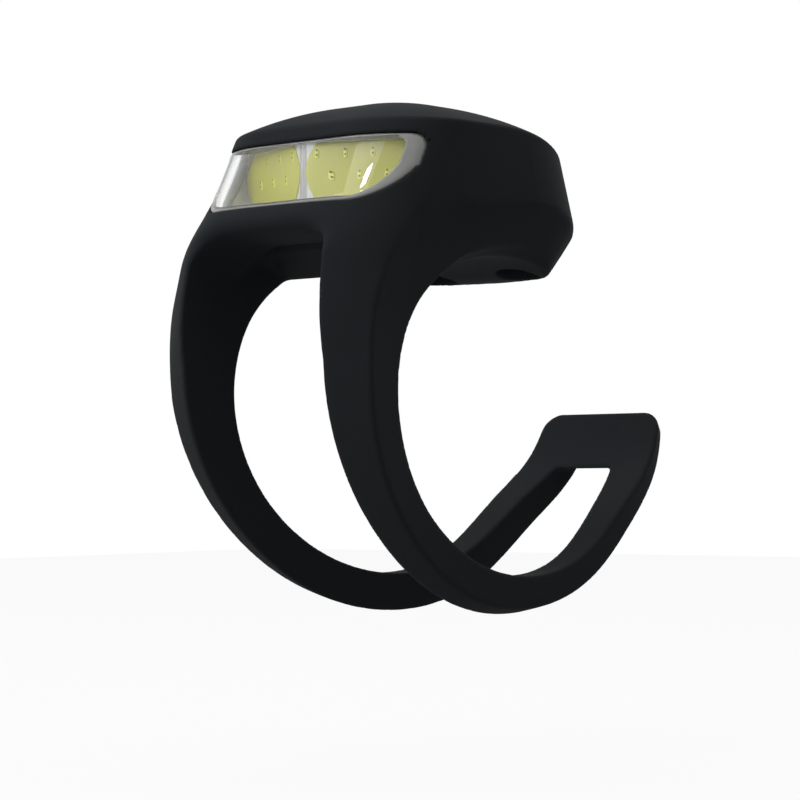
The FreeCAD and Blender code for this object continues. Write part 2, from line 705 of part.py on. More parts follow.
def cell_holder():
    inner = CELL_RADIUS + HOLDER_FIT
    step_z = DOOR_TOP + DOOR_FIT * 2 + DOOR_LUG_THICKNESS
    floor_top = step_z + HOLDER_FLOOR
    holder = ring(HOLDER_RADIUS, inner, step_z, floor_top)
    holder = holder.fuse(ring(inner + HOLDER_WALL, inner, floor_top, BOARD_Z))
    skirt = ring(HOLDER_RADIUS, LUG_RADIUS + HOLDER_FIT, DOOR_TOP, step_z)
    slot = box(-HOLDER_SLOT_HALF, HOLDER_SLOT_HALF, -FAR, 0, floor_top, BOARD_Z)
    room = body_block(POD_INNER + HOLDER_FIT, DOOR_TOP, BOARD_Z)
    return holder.fuse(skirt).cut(slot).common(room).removeSplitter()


def positive_clip():
    """Sheet clip that bears on the upper cell and reaches down its side at the front."""
    inner = CELL_RADIUS + HOLDER_FIT
    outer = inner + CONTACT_THICKNESS
    leaf = box(-CLIP_HALF, CLIP_HALF, -outer, CLIP_REACH, CELL_TOP, BOARD_Z)
    leg = box(-CLIP_HALF, CLIP_HALF, -outer, -inner, CELL_TOP - CLIP_DROP, CELL_TOP)
    return leaf.fuse(leg).removeSplitter()


# Main board


def main_board():
    radius = CELL_RADIUS + HOLDER_FIT + HOLDER_WALL
    board = disc(radius, BOARD_Z, BOARD_TOP)
    board = board.fuse(box(-BOARD_HALF, BOARD_HALF, -BOARD_FRONT, 0, BOARD_Z, BOARD_TOP))
    for x, y in screw_places():
        board = board.cut(disc(BOSS_RADIUS + BOARD_FIT, BOARD_Z, BOARD_TOP, x, y))
    return board.common(body_block(POD_INNER + BOARD_FIT, BOARD_Z, BOARD_TOP)).removeSplitter()


def chip(x, y):
    """A square package with its row of pins on two sides."""
    shape = centred_box(x, y, CHIP_SIDE, CHIP_SIDE, BOARD_TOP + CHIP_STAND, BOARD_TOP + CHIP_HEIGHT)
    count = int(CHIP_SIDE / PIN_PITCH)
    for i in range(count):
        pin_x = x + (i - (count - 1) / 2) * PIN_PITCH
        reach = CHIP_SIDE + 2 * PIN_REACH
        pins = centred_box(pin_x, y, PIN_WIDTH, reach, BOARD_TOP, BOARD_TOP + PIN_THICKNESS)
        shape = shape.fuse(pins)
    return shape.removeSplitter()


def chip_parts():
    """Resistors and capacitors along the board's sides and back."""
    length, width, height = PASSIVE_SIZE
    parts = [centred_box(x, y, length, width, BOARD_TOP, BOARD_TOP + height) for x, y in PASSIVE_PLACES]
    return Part.makeCompound(parts)


def switch_body():
    body = centred_box(0, PAD_Y, SWITCH_SIDE, SWITCH_SIDE, BOARD_TOP, SWITCH_TOP)
    well = PLUNGER_DEPTH + PAD_TRAVEL + SWITCH_SPARE
    body = body.cut(disc(PLUNGER_RADIUS + PLUNGER_FIT, SWITCH_TOP - well, SWITCH_TOP, 0, PAD_Y))
    return body


def switch_plunger():
    return disc(PLUNGER_RADIUS, SWITCH_TOP - PLUNGER_DEPTH, PLUNGER_TOP, 0, PAD_Y)


# Light engine


def set_in_vee(shape):
    """Turns a piece drawn on the plane y = 0, for x > 0, onto the right leg of the V."""
    placed = shape.copy()
    placed.rotate(V(0, 0, 0), V(0, 0, 1), VEE_ANGLE)
    placed.translate(V(0, VEE_Y, 0))
    return placed


def vee_middle_z():
    return (WINDOW_BOTTOM + WINDOW_TOP) / 2


def led_board():
    middle = vee_middle_z()
    low = middle - LED_BOARD_HEIGHT / 2
    high = middle + LED_BOARD_HEIGHT / 2
    slab = box(-LED_BOARD_THICKNESS, LED_BOARD_LENGTH, 0, LED_BOARD_THICKNESS, low, high)
    placed = set_in_vee(slab)
    return placed.common(box(LED_BOARD_INSET, FAR, -FAR, 0, low, high))


def phosphor():
    """A pill of yellow gel on the board's face."""
    radius = PHOSPHOR_HEIGHT / 2
    middle = vee_middle_z() + PHOSPHOR_RISE
    start = PHOSPHOR_INSET + radius
    end = PHOSPHOR_INSET + PHOSPHOR_LENGTH - radius
    pill = box(start, end, -PHOSPHOR_THICKNESS, 0, middle - radius, middle + radius)
    for x in (start, end):
        centre = V(x, -PHOSPHOR_THICKNESS, middle)
        pill = pill.fuse(Part.makeCylinder(radius, PHOSPHOR_THICKNESS, centre, V(0, 1, 0)))
    return set_in_vee(pill.removeSplitter())


def led_dies():
    """Two staggered rows of chips that stand just proud of the gel."""
    middle = vee_middle_z() + PHOSPHOR_RISE
    dies = []
    for row, shift in ((DIE_ROW_OFFSET, 0.0), (-DIE_ROW_OFFSET, DIE_PITCH / 2)):
        for i in range(DIE_COUNT):
            x = PHOSPHOR_INSET + DIE_START + shift + i * DIE_PITCH
            y = -PHOSPHOR_THICKNESS
            half = DIE_SIZE / 2
            die = box(x - half, x + half, y - DIE_PROUD, y, middle + row - half, middle + row + half)
            dies.append(set_in_vee(die))
    return dies


def led_carrier():
    """Bent plastic wall behind both boards, with rests for them above and below."""
    back = LED_BOARD_THICKNESS
    low = DOOR_TOP
    side = LED_BOARD_LENGTH + CARRIER_BEYOND
    wall = set_in_vee(box(-CARRIER_WALL, side, back, back + CARRIER_WALL, low, BOARD_TOP))
    wall = wall.common(box(0, FAR, -FAR, 0, low, BOARD_TOP))
    wall = wall.fuse(mirrored(wall))
    for x, y in screw_places():
        wall = wall.cut(disc(BOSS_RADIUS + BOARD_FIT, low, BOARD_TOP, x, y))
    return wall.common(body_block(POD_INNER + CARRIER_FIT, low, BOARD_TOP)).removeSplitter()


def led_lead():
    """Flat flexible lead from a light board over the carrier to the main board."""
    half = LEAD_WIDTH / 2
    end = LEAD_LAP - BOARD_FRONT
    run = box(LEAD_X - half, LEAD_X + half, -FAR, end, BOARD_TOP, BOARD_TOP + LEAD_THICKNESS)
    back = set_in_vee(box(-FAR, FAR, LED_BOARD_THICKNESS, FAR, 0, FAR))
    inside = body_block(POD_INNER + LEAD_CLEAR, BOARD_Z, SWITCH_TOP)
    return run.common(back).common(inside)


def window_lens():
    """Clear block that fills the window back to the light boards."""
    block = window_block(-LENS_FIT).common(body_block(LENS_SINK, BASE_Z, RIM_Z))
    behind = set_in_vee(box(-FAR, FAR, 0, FAR, 0, FAR)).common(box(0, FAR, -FAR, FAR, 0, FAR))
    block = block.cut(behind).cut(mirrored(behind))
    gel = phosphor()
    block = block.cut(gel).cut(mirrored(gel))
    for die in led_dies():
        block = block.cut(die).cut(mirrored(die))
    return block


def export(name, shape):
    solids = shape.Solids
    if not shape.isValid():
        print("not valid:", name)
    print(name, "solids", len(solids), "volume", round(sum(s.Volume for s in solids), 2))
    shape.exportStep("parts/" + name + ".step")


def main():
    os.makedirs("parts", exist_ok=True)
    skin, leg_right, leg_left, tail = skin_and_strap()
    dies = led_dies()
    pieces = {
        "rubber_skin": skin,
        "strap_leg_right": leg_right,
        "strap_leg_left": leg_left,
        "strap_tail": tail,
        "press_pad": press_pad(),
        "pod_upper_shell": pod_upper_shell(),
        "pod_lower_shell": pod_lower_shell(),
        "pod_seal": pod_seal(),
        "pod_screws": pod_screws(),
        "window_lens": window_lens(),
        "led_carrier": led_carrier(),
        "led_board_right": led_board(),
        "led_board_left": mirrored(led_board()),
        "phosphor_right": phosphor(),
        "phosphor_left": mirrored(phosphor()),
        "led_chips_right": Part.makeCompound(dies),
        "led_chips_left": Part.makeCompound([mirrored(die) for die in dies]),
        "led_lead_right": led_lead(),
        "led_lead_left": mirrored(led_lead()),
        "main_board": main_board(),
        "led_driver": chip(*DRIVER_PLACE),
        "mode_controller": chip(*CONTROLLER_PLACE),
        "chip_resistors": chip_parts(),
        "switch_body": switch_body(),
        "switch_plunger": switch_plunger(),
        "positive_clip": positive_clip(),
        "negative_contact": negative_contact(),
        "cell_lower": coin_cell(CELL_BASE),
        "cell_upper": coin_cell(CELL_BASE + CELL_HEIGHT),
        "cell_holder": cell_holder(),
        "battery_door": battery_door(),
        "door_seal": door_seal(),
    }
    for name, shape in pieces.items():
        export(name, shape)


main()
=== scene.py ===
import json
import math
import bmesh
import bpy
import numpy as np
from mathutils import Matrix, Vector


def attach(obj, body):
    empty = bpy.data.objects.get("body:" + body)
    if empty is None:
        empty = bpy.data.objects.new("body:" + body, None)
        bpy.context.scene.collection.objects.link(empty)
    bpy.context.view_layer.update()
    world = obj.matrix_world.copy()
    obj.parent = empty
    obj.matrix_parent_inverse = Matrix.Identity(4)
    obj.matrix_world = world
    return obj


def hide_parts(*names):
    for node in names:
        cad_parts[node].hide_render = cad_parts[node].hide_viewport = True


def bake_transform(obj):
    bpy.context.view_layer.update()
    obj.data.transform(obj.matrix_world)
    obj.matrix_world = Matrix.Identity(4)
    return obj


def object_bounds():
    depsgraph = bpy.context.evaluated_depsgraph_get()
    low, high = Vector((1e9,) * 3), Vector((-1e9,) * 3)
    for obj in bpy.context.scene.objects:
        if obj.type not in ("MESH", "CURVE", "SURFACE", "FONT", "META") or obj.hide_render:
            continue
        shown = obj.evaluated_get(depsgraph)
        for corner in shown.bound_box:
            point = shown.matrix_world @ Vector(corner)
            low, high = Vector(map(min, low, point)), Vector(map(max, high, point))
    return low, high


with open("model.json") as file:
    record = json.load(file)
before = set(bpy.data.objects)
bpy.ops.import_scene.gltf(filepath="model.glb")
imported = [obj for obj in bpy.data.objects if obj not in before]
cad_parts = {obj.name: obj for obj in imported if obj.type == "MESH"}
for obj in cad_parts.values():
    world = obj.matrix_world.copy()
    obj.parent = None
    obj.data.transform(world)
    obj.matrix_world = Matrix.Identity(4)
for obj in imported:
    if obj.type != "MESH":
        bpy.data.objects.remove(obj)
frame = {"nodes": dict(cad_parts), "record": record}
cad_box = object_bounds()

MM = 0.001

# Camera: where the photograph was taken from, in millimetres and degrees
CAMERA_PLACE = (183.95, -216.16, -8.24)
CAMERA_AZIMUTH = 41.0
CAMERA_ELEVATION = -1.66
CAMERA_ROLL = 0.48
CAMERA_LENS = 117.0
CAMERA_SENSOR = 36.0
CAMERA_NEAR = 10.0

# The moulding's shape, in millimetres: the body. A ROUND is the width over which two faces blend,
# and a SCALE brings a steep field near to a true distance
SADDLE_TOP = 15.9
SADDLE_RADIUS = 26.4
SADDLE_BELLY = 0.9
BELLY_HALF = (10.6, 13.4)
RIM_Z = 28.2
DOME_HEIGHT = 3.25
DOME_FULLNESS = 2.2
DOME_CENTRE_Y = -6.0
RIM_FALL = 3.0
RIM_SHARES = (1e-4, 1.5)
FALL_START = 0.3
PLAN_CENTRE_Y = -0.9
CORNER_RADIUS = 8.8
HALF_RIM = 14.8
FRONT_RIM = 19.3
SIDE_TAPER = 0.2
BODY_LEVELS = (4.0, 8.0, 13.5, 20.2, 28.2, 33.0)
BODY_FRONT = (26.6, 27.6, 27.2, 23.6, 19.3, 16.8)
BODY_SHOULDER = (14.3, 14.4, 14.7, 15.0, 15.0, 14.8)
LOW_EDGE = ((-11.0, -3.0), (6.0, 13.4))
LOW_EDGE_ROUND = 0.8
RIM_ROUND = 0.35
ARCH_FRONT_Y = -22.0
ARCH_HALF = 13.3
ARCH_REAR_HALF = 14.4
ARCH_REAR_Y = (0.0, 9.0)
REAR_ARCH_LIMIT = 11.0
REAR_BODY_Z = 6.0
FLANK_PLACES_Y = (-18.0, -12.5, -8.6, -3.0, 0.0, 9.0)
FLANK_SLOPES = (0.19, 0.29, 0.47, 0.72, 0.77, 0.56)
POCKET_X = 5.9
POCKET_Y = 8.8
POCKET_RADIUS = 2.5
POCKET_TOP = 16.2
POCKET_LOW = 8.0
POCKET_ROUND = 0.25

# The window, the cavity behind it and the room for the press pad
WINDOW_HALF = 13.9
WINDOW_BOTTOM = 19.4
WINDOW_TOP = 26.55
WINDOW_TOP_CORNER = (1.1, 1.8)
WINDOW_LOW_CORNER = (4.6, 4.6)
WINDOW_BACK_Y = -14.2
WINDOW_ROUND = 0.3
SKIN_WALL = 1.7
TOP_WALL_SHARE = 0.8
CAVITY_FLOOR = 17.05
HEEL_Y = -15.0
HEEL_SLOPE = 0.36
HEEL_SCALE = 0.94
PAD_RADIUS = 7.0
PAD_Y = -5.0
PAD_GAP = 0.1
PAD_LIP_Z = 29.74
PAD_FLANGE_RADIUS = 7.8
PAD_FLANGE = (29.26, 29.66)
PAD_NUB_RADIUS = 1.5
PAD_NUB_Z = 28.75
PAD_ROOM_Z = 27.0
PAD_ROOM_ROUND = 0.15
PAD_EDGE = ((0.0, 0.3), (0.03, 0.14), (0.12, 0.04), (0.26, 0.0))
PAD_FACE_SHARES = (0.85, 0.7, 0.55, 0.4, 0.25, 0.1)
PAD_SIDES = 96

# The strap: its inner line in the side view (y, z), then its sizes at stations along it
STRAP_LINE = (
    (-9.5, 14.2), (-16.8, 8.9), (-19.7, 1.5), (-17.2, -8.2), (-9.5, -15.5),
    (2.5, -19.1), (14.5, -17.1), (23.5, -10.9), (29.5, -5.7), (32.0, -1.0),
)
STATIONS = (0.0, 0.07, 0.10, 0.13, 0.16, 0.20, 0.40, 0.60, 0.84, 1.0)
INNER_HALF = (13.3, 13.2, 13.2, 13.2, 13.2, 13.2, 12.2, 11.1, 10.0, 8.5)
OUTER_HALF = (14.5, 14.6, 14.7, 14.8, 14.6, 14.3, 12.3, 10.5, 9.7, 7.5)
THICKNESS = (5.0, 6.0, 6.5, 6.4, 6.0, 5.4, 3.9, 3.5, 2.8, 1.8)
CROWN = (7.0, 7.0, 6.3, 5.4, 4.9, 4.4, 2.1, 1.4, 1.2, 0.5)
CROWN_REACH = 1.2
CROWN_FULLNESS = (3.0, 3.0, 3.0, 2.5, 2.2, 2.0, 2.0, 2.0, 2.0, 2.0)
ROOT_BLEND = 3.0
ROOT_SHARE = 0.03
LEG_SHARES = (0.16, 0.24)
HOLLOW_ROUND = 0.55
FLANK_ROUND = 0.45
BAND_END_ROUND = 0.5
TIP_ROUND = 2.6
TIP_SHARE = 0.9
GAP_STATIONS = (0.0, 0.07, 0.20, 0.60, 0.84, 0.944)
GAP_INNER = (9.6, 9.8, 9.8, 7.4, 5.3, 3.3)
GAP_OUTER = (7.0, 8.7, 9.7, 7.4, 5.3, 3.3)
GAP_DEPTH_REACH = 1.5
GAP_ROUND = 0.6
GAP_START_SHARE = 0.01
SLOT_END_SLANT = 0.9
SLOT_END_SCALE = 0.75
SLOT_END_ROUND = 0.7
# Behind REACH_Y the gap's cut stops REACH_IN inside the strap's line, and much farther inside
# up to REACH_START_SHARE
REACH_Y = -5.0
REACH_IN = 9.0
REACH_START_SHARE = 0.05
REACH_START_MORE = 30
# The chin between the legs: the slanted face up to the crease, then the roll to the front
CHIN_BACK = ((60.0, -6.0), (-9.0, 10.5), (-12.0, 12.9), (-16.4, 15.6), (-16.8, 16.15))
CHIN_ROLL_RISE = 0.9
CHIN_ROLL_LENGTH = 8.8
CHIN_ROLL_POWER = 4
CHIN_SCALE = 0.85
CHIN_END_SHARE = 0.3
CHIN_BLEND = (0.8, 4.0)
CHIN_BLEND_DEPTH = (2.0, 6.0)
CHIN_EDGE = 1.0
CHIN_EDGE_Z = (13.5, 16.5)

# What the window shows, in millimetres: the light boards' V, the gel on them and their tray
VEE_ANGLE = math.radians(20.0)
VEE_Y = -19.3
LENS_FIT = 0.05
LENS_SINK = 0.1
LENS_EDGE = 0.5
LENS_WALL = 1.0
LENS_TUCK = 0.25
LENS_ROUND = 0.1
# The lens's edge band is an opaque grey piece: painted reflection in place of the grey look of the
# clear edge
PAINTED_EDGE_DEEP = 1.6
PAINTED_EDGE_RIM = 0.45
PAINTED_EDGE_END = 1.35
PAINTED_EDGE_PROUD = 0.05
PAINTED_EDGE_ROUND = 0.2
GEL_START = 0.42
GEL_BULGE = 1.15
GEL_END = 12.3
GEL_LOW = 20.0
GEL_HIGH = 26.02
GEL_TOP_CORNER = (1.5, 1.5)
GEL_LOW_CORNER = (3.4, 3.6)
GEL_BOW_STEPS = 8
GEL_CORNER_STEPS = 14
# Profiles from a piece's underside to its top: how far each loop is drawn in, and its height
GEL_PROFILE = ((0.0, -0.1), (0.0, 0.09), (0.05, 0.14), (0.16, 0.17), (0.6, 0.19), (1.2, 0.2))
TRAY_MARGIN = 0.12
TRAY_SPREAD = 0.16
TRAY_BACK = 0.6
STRIP_HALF = 0.5
STRIP_DEEP = 0.2
DIE_START = 1.75
DIE_PITCH = 3.0
DIE_ROWS = ((1.15, 0.0), (-1.15, 1.5))
DIE_COUNT = 3
DIE_MIDDLE = 23.7
DIE_SIZE = 0.5
DIE_PROFILE = ((0.0, 0.1), (0.0, 0.23), (0.05, 0.27), (0.14, 0.28))
DOT_SIZE = 0.2
DOT_PROFILE = ((0.0, 0.15), (0.0, 0.285), (0.03, 0.3))
DOT_DROP = 0.36
BLOCK_SIDES = 24
BLOCK_POWER = 0.6

# The meshes: grid steps in millimetres, and how vertices are moved onto the edges
GRID_STEP = 0.34
WINDOW_STEP = 0.2
TABLE_STEP = 0.17
TABLE_COUNT = 600
LINE_COUNT = 900
SPLINE_COUNT = 4000
CHUNK = 20000
SLOPE_REACH = 0.03
SETTLE_ROUNDS = 3
SETTLE_TRAVEL = 0.6
EDGE_COSINE = 0.92
EDGE_HOLD = 0.25
EDGE_REACH = 0.5
EDGE_TRAVEL = 0.4
LOW_CORNER = (-17.6, -31.0, -26.5)
HIGH_CORNER = (17.6, 37.0, 33.0)
GLASS_LOW_CORNER = (-15.5, -27.0, 18.4)
GLASS_HIGH_CORNER = (15.5, -12.0, 27.6)
SEAM_Y = -10.0
SEAM_Z = 5.0
# A field's value well outside a shape, and least divisors
FAR = 9.0
TINY = 1e-6
LEAST_SLOPE = 0.3
LEAST_SQUARE = 0.25

# Floor and light. FLOOR_ROOM, in millimetres, sets the floor that far below the CAD model's lowest
# point
FLOOR_WHITE = 0.93
FLOOR_ROOM = 16.0
FLOOR_HALF = 0.6
FLOOR_LOOK = dict(colour=(0.55, 0.55, 0.55), rough=0.7, spots=(0.53, 0.53, 0.53), specular=0.2)
WORLD_LEVEL = 0.24
# Lamps: places and sizes in metres, power in watts. Only the strip light is mirrored by the window,
# where it makes the bright streak
TOP_LIGHT = dict(place=(-0.04, -0.06, 0.45), target=(0, 0, 0.01), size=(0.5, 0.5), power=1.8,
                 mirrored=False)
LEFT_LIGHT = dict(place=(-0.2, -0.56, 0.1), target=(0, 0, 0.0), size=(0.35, 0.35), power=2.5,
                  mirrored=False)
STRIP_LIGHT = dict(place=(0.0536, -0.3613, 0.5144), target=(0.0104, -0.0215, 0.0218),
                   size=(0.045, 0.008), power=0.08, mirrored=True)


def smooth_max(a, b, k):
    """The greater of two fields, rounded over a width k where they meet."""
    h = np.clip(0.5 + 0.5 * (a - b) / k, 0.0, 1.0)
    return b * (1 - h) + a * h + k * h * (1 - h)


def smooth_min(a, b, k):
    return -smooth_max(-a, -b, k)


def smooth_step(value, low, high):
    t = np.clip((value - low) / (high - low), 0.0, 1.0)
    return t * t * (3 - 2 * t)


def smooth_table(places, sizes):
    """A fine table that runs smoothly through the sizes and never beyond them."""
    places, sizes = np.array(places, float), np.array(sizes, float)
    steps = np.diff(places)
    slopes = np.diff(sizes) / steps
    tangents = np.concatenate([slopes[:1], np.zeros(len(places) - 2), slopes[-1:]])
    for i in range(1, len(places) - 1):
        before, after = slopes[i - 1], slopes[i]
        if before * after > 0:
            a = 2 * steps[i] + steps[i - 1]
            b = steps[i] + 2 * steps[i - 1]
            tangents[i] = (a + b) / (a / before + b / after)
    fine = np.linspace(places[0], places[-1], TABLE_COUNT)
    i = np.clip(np.searchsorted(places, fine, side="right") - 1, 0, len(places) - 2)
    t = (fine - places[i]) / steps[i]
    values = (1 + 2 * t) * (1 - t) ** 2 * sizes[i] + t * t * (3 - 2 * t) * sizes[i + 1]
    values += steps[i] * (t * (1 - t) ** 2 * tangents[i] - t * t * (1 - t) * tangents[i + 1])
    return fine, values


FRONT_TABLE = smooth_table(BODY_LEVELS, BODY_FRONT)
SHOULDER_TABLE = smooth_table(BODY_LEVELS, BODY_SHOULDER)
SLOPE_TABLE = smooth_table(FLANK_PLACES_Y, FLANK_SLOPES)
INNER_TABLE = smooth_table(STATIONS, INNER_HALF)
OUTER_TABLE = smooth_table(STATIONS, OUTER_HALF)
THICK_TABLE = smooth_table(STATIONS, THICKNESS)
CROWN_TABLE = smooth_table(STATIONS, CROWN)
FULLNESS_TABLE = smooth_table(STATIONS, CROWN_FULLNESS)
GAP_INNER_TABLE = smooth_table(GAP_STATIONS, GAP_INNER)
GAP_OUTER_TABLE = smooth_table(GAP_STATIONS, GAP_OUTER)


def natural_spline(points, count):
    """Smooth curve through the points, evenly spaced along its length."""
    points = np.array(points, float)
    knots = np.concatenate([[0.0], np.cumsum(np.linalg.norm(np.diff(points, axis=0), axis=1))])
    n = len(points)
    h = np.diff(knots)
    system = np.zeros((n, n))
    right = np.zeros((n, 2))
    system[0, 0] = system[-1, -1] = 1.0
    for i in range(1, n - 1):
        system[i, i - 1] = h[i - 1]
        system[i, i] = 2 * (h[i - 1] + h[i])
        system[i, i + 1] = h[i]
        right[i] = 6 * ((points[i + 1] - points[i]) / h[i] - (points[i] - points[i - 1]) / h[i - 1])
    bend = np.linalg.solve(system, right)

    def at(s):
        i = np.clip(np.searchsorted(knots, s) - 1, 0, n - 2)
        a = (knots[i + 1] - s)[:, None]
        b = (s - knots[i])[:, None]
        w = h[i][:, None]
        line = bend[i] * a ** 3 / (6 * w) + bend[i + 1] * b ** 3 / (6 * w)
        line += (points[i] / w - bend[i] * w / 6) * a
        return line + (points[i + 1] / w - bend[i + 1] * w / 6) * b

    fine = at(np.linspace(0, knots[-1], SPLINE_COUNT))
    run = np.concatenate([[0.0], np.cumsum(np.linalg.norm(np.diff(fine, axis=0), axis=1))])
    places = np.linspace(0, run[-1], count)
    return np.stack([np.interp(places, run, fine[:, k]) for k in (0, 1)], axis=1), run[-1]


LINE, LINE_LENGTH = natural_spline(STRAP_LINE, LINE_COUNT)
TANGENT = np.gradient(LINE, axis=0)
TANGENT /= np.linalg.norm(TANGENT, axis=1)[:, None]
NORMAL = np.stack([TANGENT[:, 1], -TANGENT[:, 0]], axis=1)


def along_strap(y, z):
    """Share of the way along the strap's inner line and distance outward from it."""
    flat = np.stack([y.ravel(), z.ravel()], axis=1)
    share = np.empty(len(flat))
    depth = np.empty(len(flat))
    for start in range(0, len(flat), CHUNK):
        part = flat[start:start + CHUNK]
        gap = part[:, None, :] - LINE[None, :, :]
        near = np.argmin((gap ** 2).sum(axis=2), axis=1)
        offset = part - LINE[near]
        over = (offset * TANGENT[near]).sum(axis=1) / LINE_LENGTH
        share[start:start + CHUNK] = near / (len(LINE) - 1) + over
        depth[start:start + CHUNK] = (offset * NORMAL[near]).sum(axis=1)
    return share.reshape(y.shape), depth.reshape(y.shape)


class SideTable:
    """The strap's side-view coordinates, worked out once on a grid and looked up from it."""

    def __init__(self):
        self.ys = np.arange(LOW_CORNER[1], HIGH_CORNER[1] + TABLE_STEP, TABLE_STEP)
        self.zs = np.arange(LOW_CORNER[2], HIGH_CORNER[2] + TABLE_STEP, TABLE_STEP)
        self.share, self.depth = along_strap(*np.meshgrid(self.ys, self.zs, indexing="ij"))

    def look_up(self, y, z):
        a = np.clip((y - self.ys[0]) / TABLE_STEP, 0, len(self.ys) - 1.001)
        b = np.clip((z - self.zs[0]) / TABLE_STEP, 0, len(self.zs) - 1.001)
        i, j = a.astype(int), b.astype(int)
        a, b = a - i, b - j
        found = []
        for table in (self.share, self.depth):
            low = table[i, j] * (1 - b) + table[i, j + 1] * b
            high = table[i + 1, j] * (1 - b) + table[i + 1, j + 1] * b
            found.append(low * (1 - a) + high * a)
        return found


SIDE_TABLE = SideTable()


# The light's shapes, as fields in millimetres that are negative inside


def plan_distance(x, y, z):
    """Signed distance to the body's plan outline at a level."""
    half = HALF_RIM + SIDE_TAPER * (RIM_Z - z)
    shoulder = np.interp(z, *SHOULDER_TABLE)
    front = np.interp(z, *FRONT_TABLE)
    rear = np.hypot(x, y - PLAN_CENTRE_Y) - half
    corner_y = CORNER_RADIUS - front
    t = np.clip((y - PLAN_CENTRE_Y) / (corner_y - PLAN_CENTRE_Y), 0.0, 1.0)
    wide = half + (shoulder - half) * t
    qx = np.abs(x) - (wide - CORNER_RADIUS)
    qy = -y - (front - CORNER_RADIUS)
    outside = np.hypot(np.maximum(qx, 0), np.maximum(qy, 0))
    ahead = outside + np.minimum(np.maximum(qx, qy), 0) - CORNER_RADIUS
    return np.where(y > PLAN_CENTRE_Y, rear, ahead)


def circle_share(across, ahead, middle, radius):
    """Share of the way from the dome's top to a circle of the rim's outline."""
    square = across * across + ahead * ahead
    along = middle[0] * across + middle[1] * ahead
    room = radius * radius - middle[0] ** 2 - middle[1] ** 2
    return square / np.maximum(along + np.sqrt(np.maximum(along * along + square * room, 0)), TINY)


def rim_share(x, y):
    """Share of the way from the dome's top to the rim, and the rim's y there."""
    across = np.abs(x)
    dy = y - DOME_CENTRE_Y
    corner_x = HALF_RIM - CORNER_RADIUS
    corner_y = CORNER_RADIUS - FRONT_RIM - DOME_CENTRE_Y
    side = across / HALF_RIM
    front = -dy / (FRONT_RIM + DOME_CENTRE_Y)
    rear = circle_share(across, dy, (0.0, PLAN_CENTRE_Y - DOME_CENTRE_Y), HALF_RIM)
    corner = circle_share(across, dy, (corner_x, corner_y), CORNER_RADIUS)
    side_y = dy / np.maximum(side, TINY)
    front_x = across / np.maximum(front, TINY)
    share = np.where((front > 0) & (front_x < corner_x), front, corner)
    share = np.where(side_y > corner_y, side, share)
    share = np.where(side_y > PLAN_CENTRE_Y - DOME_CENTRE_Y, rear, share)
    share = np.clip(share, *RIM_SHARES)
    return share, DOME_CENTRE_Y + dy / share


def dome_surface(x, y):
    """Height of the crowned top, whose rim falls towards the back."""
    share, rim_y = rim_share(x, y)
    fall = smooth_max((rim_y - PLAN_CENTRE_Y) / HALF_RIM, 0.0, FALL_START)
    return RIM_Z + DOME_HEIGHT * (1 - share ** DOME_FULLNESS) - RIM_FALL * fall * share * share


def rounded_outline(x, z, half, low, high, top, bottom):
    """Rough signed distance to a wide outline. Its top and bottom corners are (width, height)."""
    middle = (low + high) / 2
    wide = np.where(z > middle, top[0], bottom[0])
    tall = np.where(z > middle, top[1], bottom[1])
    qx = (np.abs(x) - (half - wide)) / wide
    qz = (np.abs(z - middle) - ((high - low) / 2 - tall)) / tall
    corner = (np.hypot(np.maximum(qx, 0), np.maximum(qz, 0)) - 1) * np.minimum(wide, tall)
    flat = np.maximum((qx - 1) * wide, (qz - 1) * tall)
    return np.where((qx > 0) & (qz > 0), corner, flat)


def window_outline(x, z):
    """The window's outline in the front view."""
    return rounded_outline(x, z, WINDOW_HALF, WINDOW_BOTTOM, WINDOW_TOP,
                           WINDOW_TOP_CORNER, WINDOW_LOW_CORNER)


def chin_height(y):
    """Height of the chin's underside between the legs."""
    places, heights = zip(*sorted(CHIN_BACK))
    ahead = np.maximum(places[0] - y, 0) / CHIN_ROLL_LENGTH
    roll = np.minimum(ahead, 1) ** CHIN_ROLL_POWER + CHIN_ROLL_POWER * np.maximum(ahead - 1, 0)
    return np.interp(y, places, heights) + CHIN_ROLL_RISE * roll


def saddle_and_flanks(x, y, z, share, depth):
    """The hollow for the handlebar, and the slanted faces beside it and along the strap."""
    width = np.abs(x)
    belly = SADDLE_BELLY * (1 - smooth_step(width, *BELLY_HALF))
    saddle = SADDLE_RADIUS - np.hypot(y, z + belly - SADDLE_TOP + SADDLE_RADIUS)
    arch_y = np.clip(y, ARCH_FRONT_Y, REAR_ARCH_LIMIT)
    arch = SADDLE_TOP - SADDLE_RADIUS + np.sqrt(SADDLE_RADIUS ** 2 - arch_y ** 2)
    blend = smooth_step(share, -ROOT_SHARE, ROOT_SHARE)
    hollow = saddle * (1 - blend) - depth * blend
    rise = (z - arch) * (1 - blend) + depth * blend
    inner = np.interp(share, *INNER_TABLE)
    outer = np.interp(share, *OUTER_TABLE)
    thick = np.interp(share, *THICK_TABLE)
    leg = smooth_step(share, *LEG_SHARES)
    slope = np.interp(y, *SLOPE_TABLE) * (1 - leg) + (outer - inner) / thick * leg
    arch_half = ARCH_HALF + (ARCH_REAR_HALF - ARCH_HALF) * smooth_step(y, *ARCH_REAR_Y)
    start = arch_half * (1 - blend) + inner * blend
    in_rear = (y > PLAN_CENTRE_Y) & (share < ROOT_SHARE)
    reach = np.where(in_rear, np.hypot(x, y - PLAN_CENTRE_Y), width)
    flank = (reach - (start + slope * rise)) / np.sqrt(1 + slope * slope)
    return hollow, flank


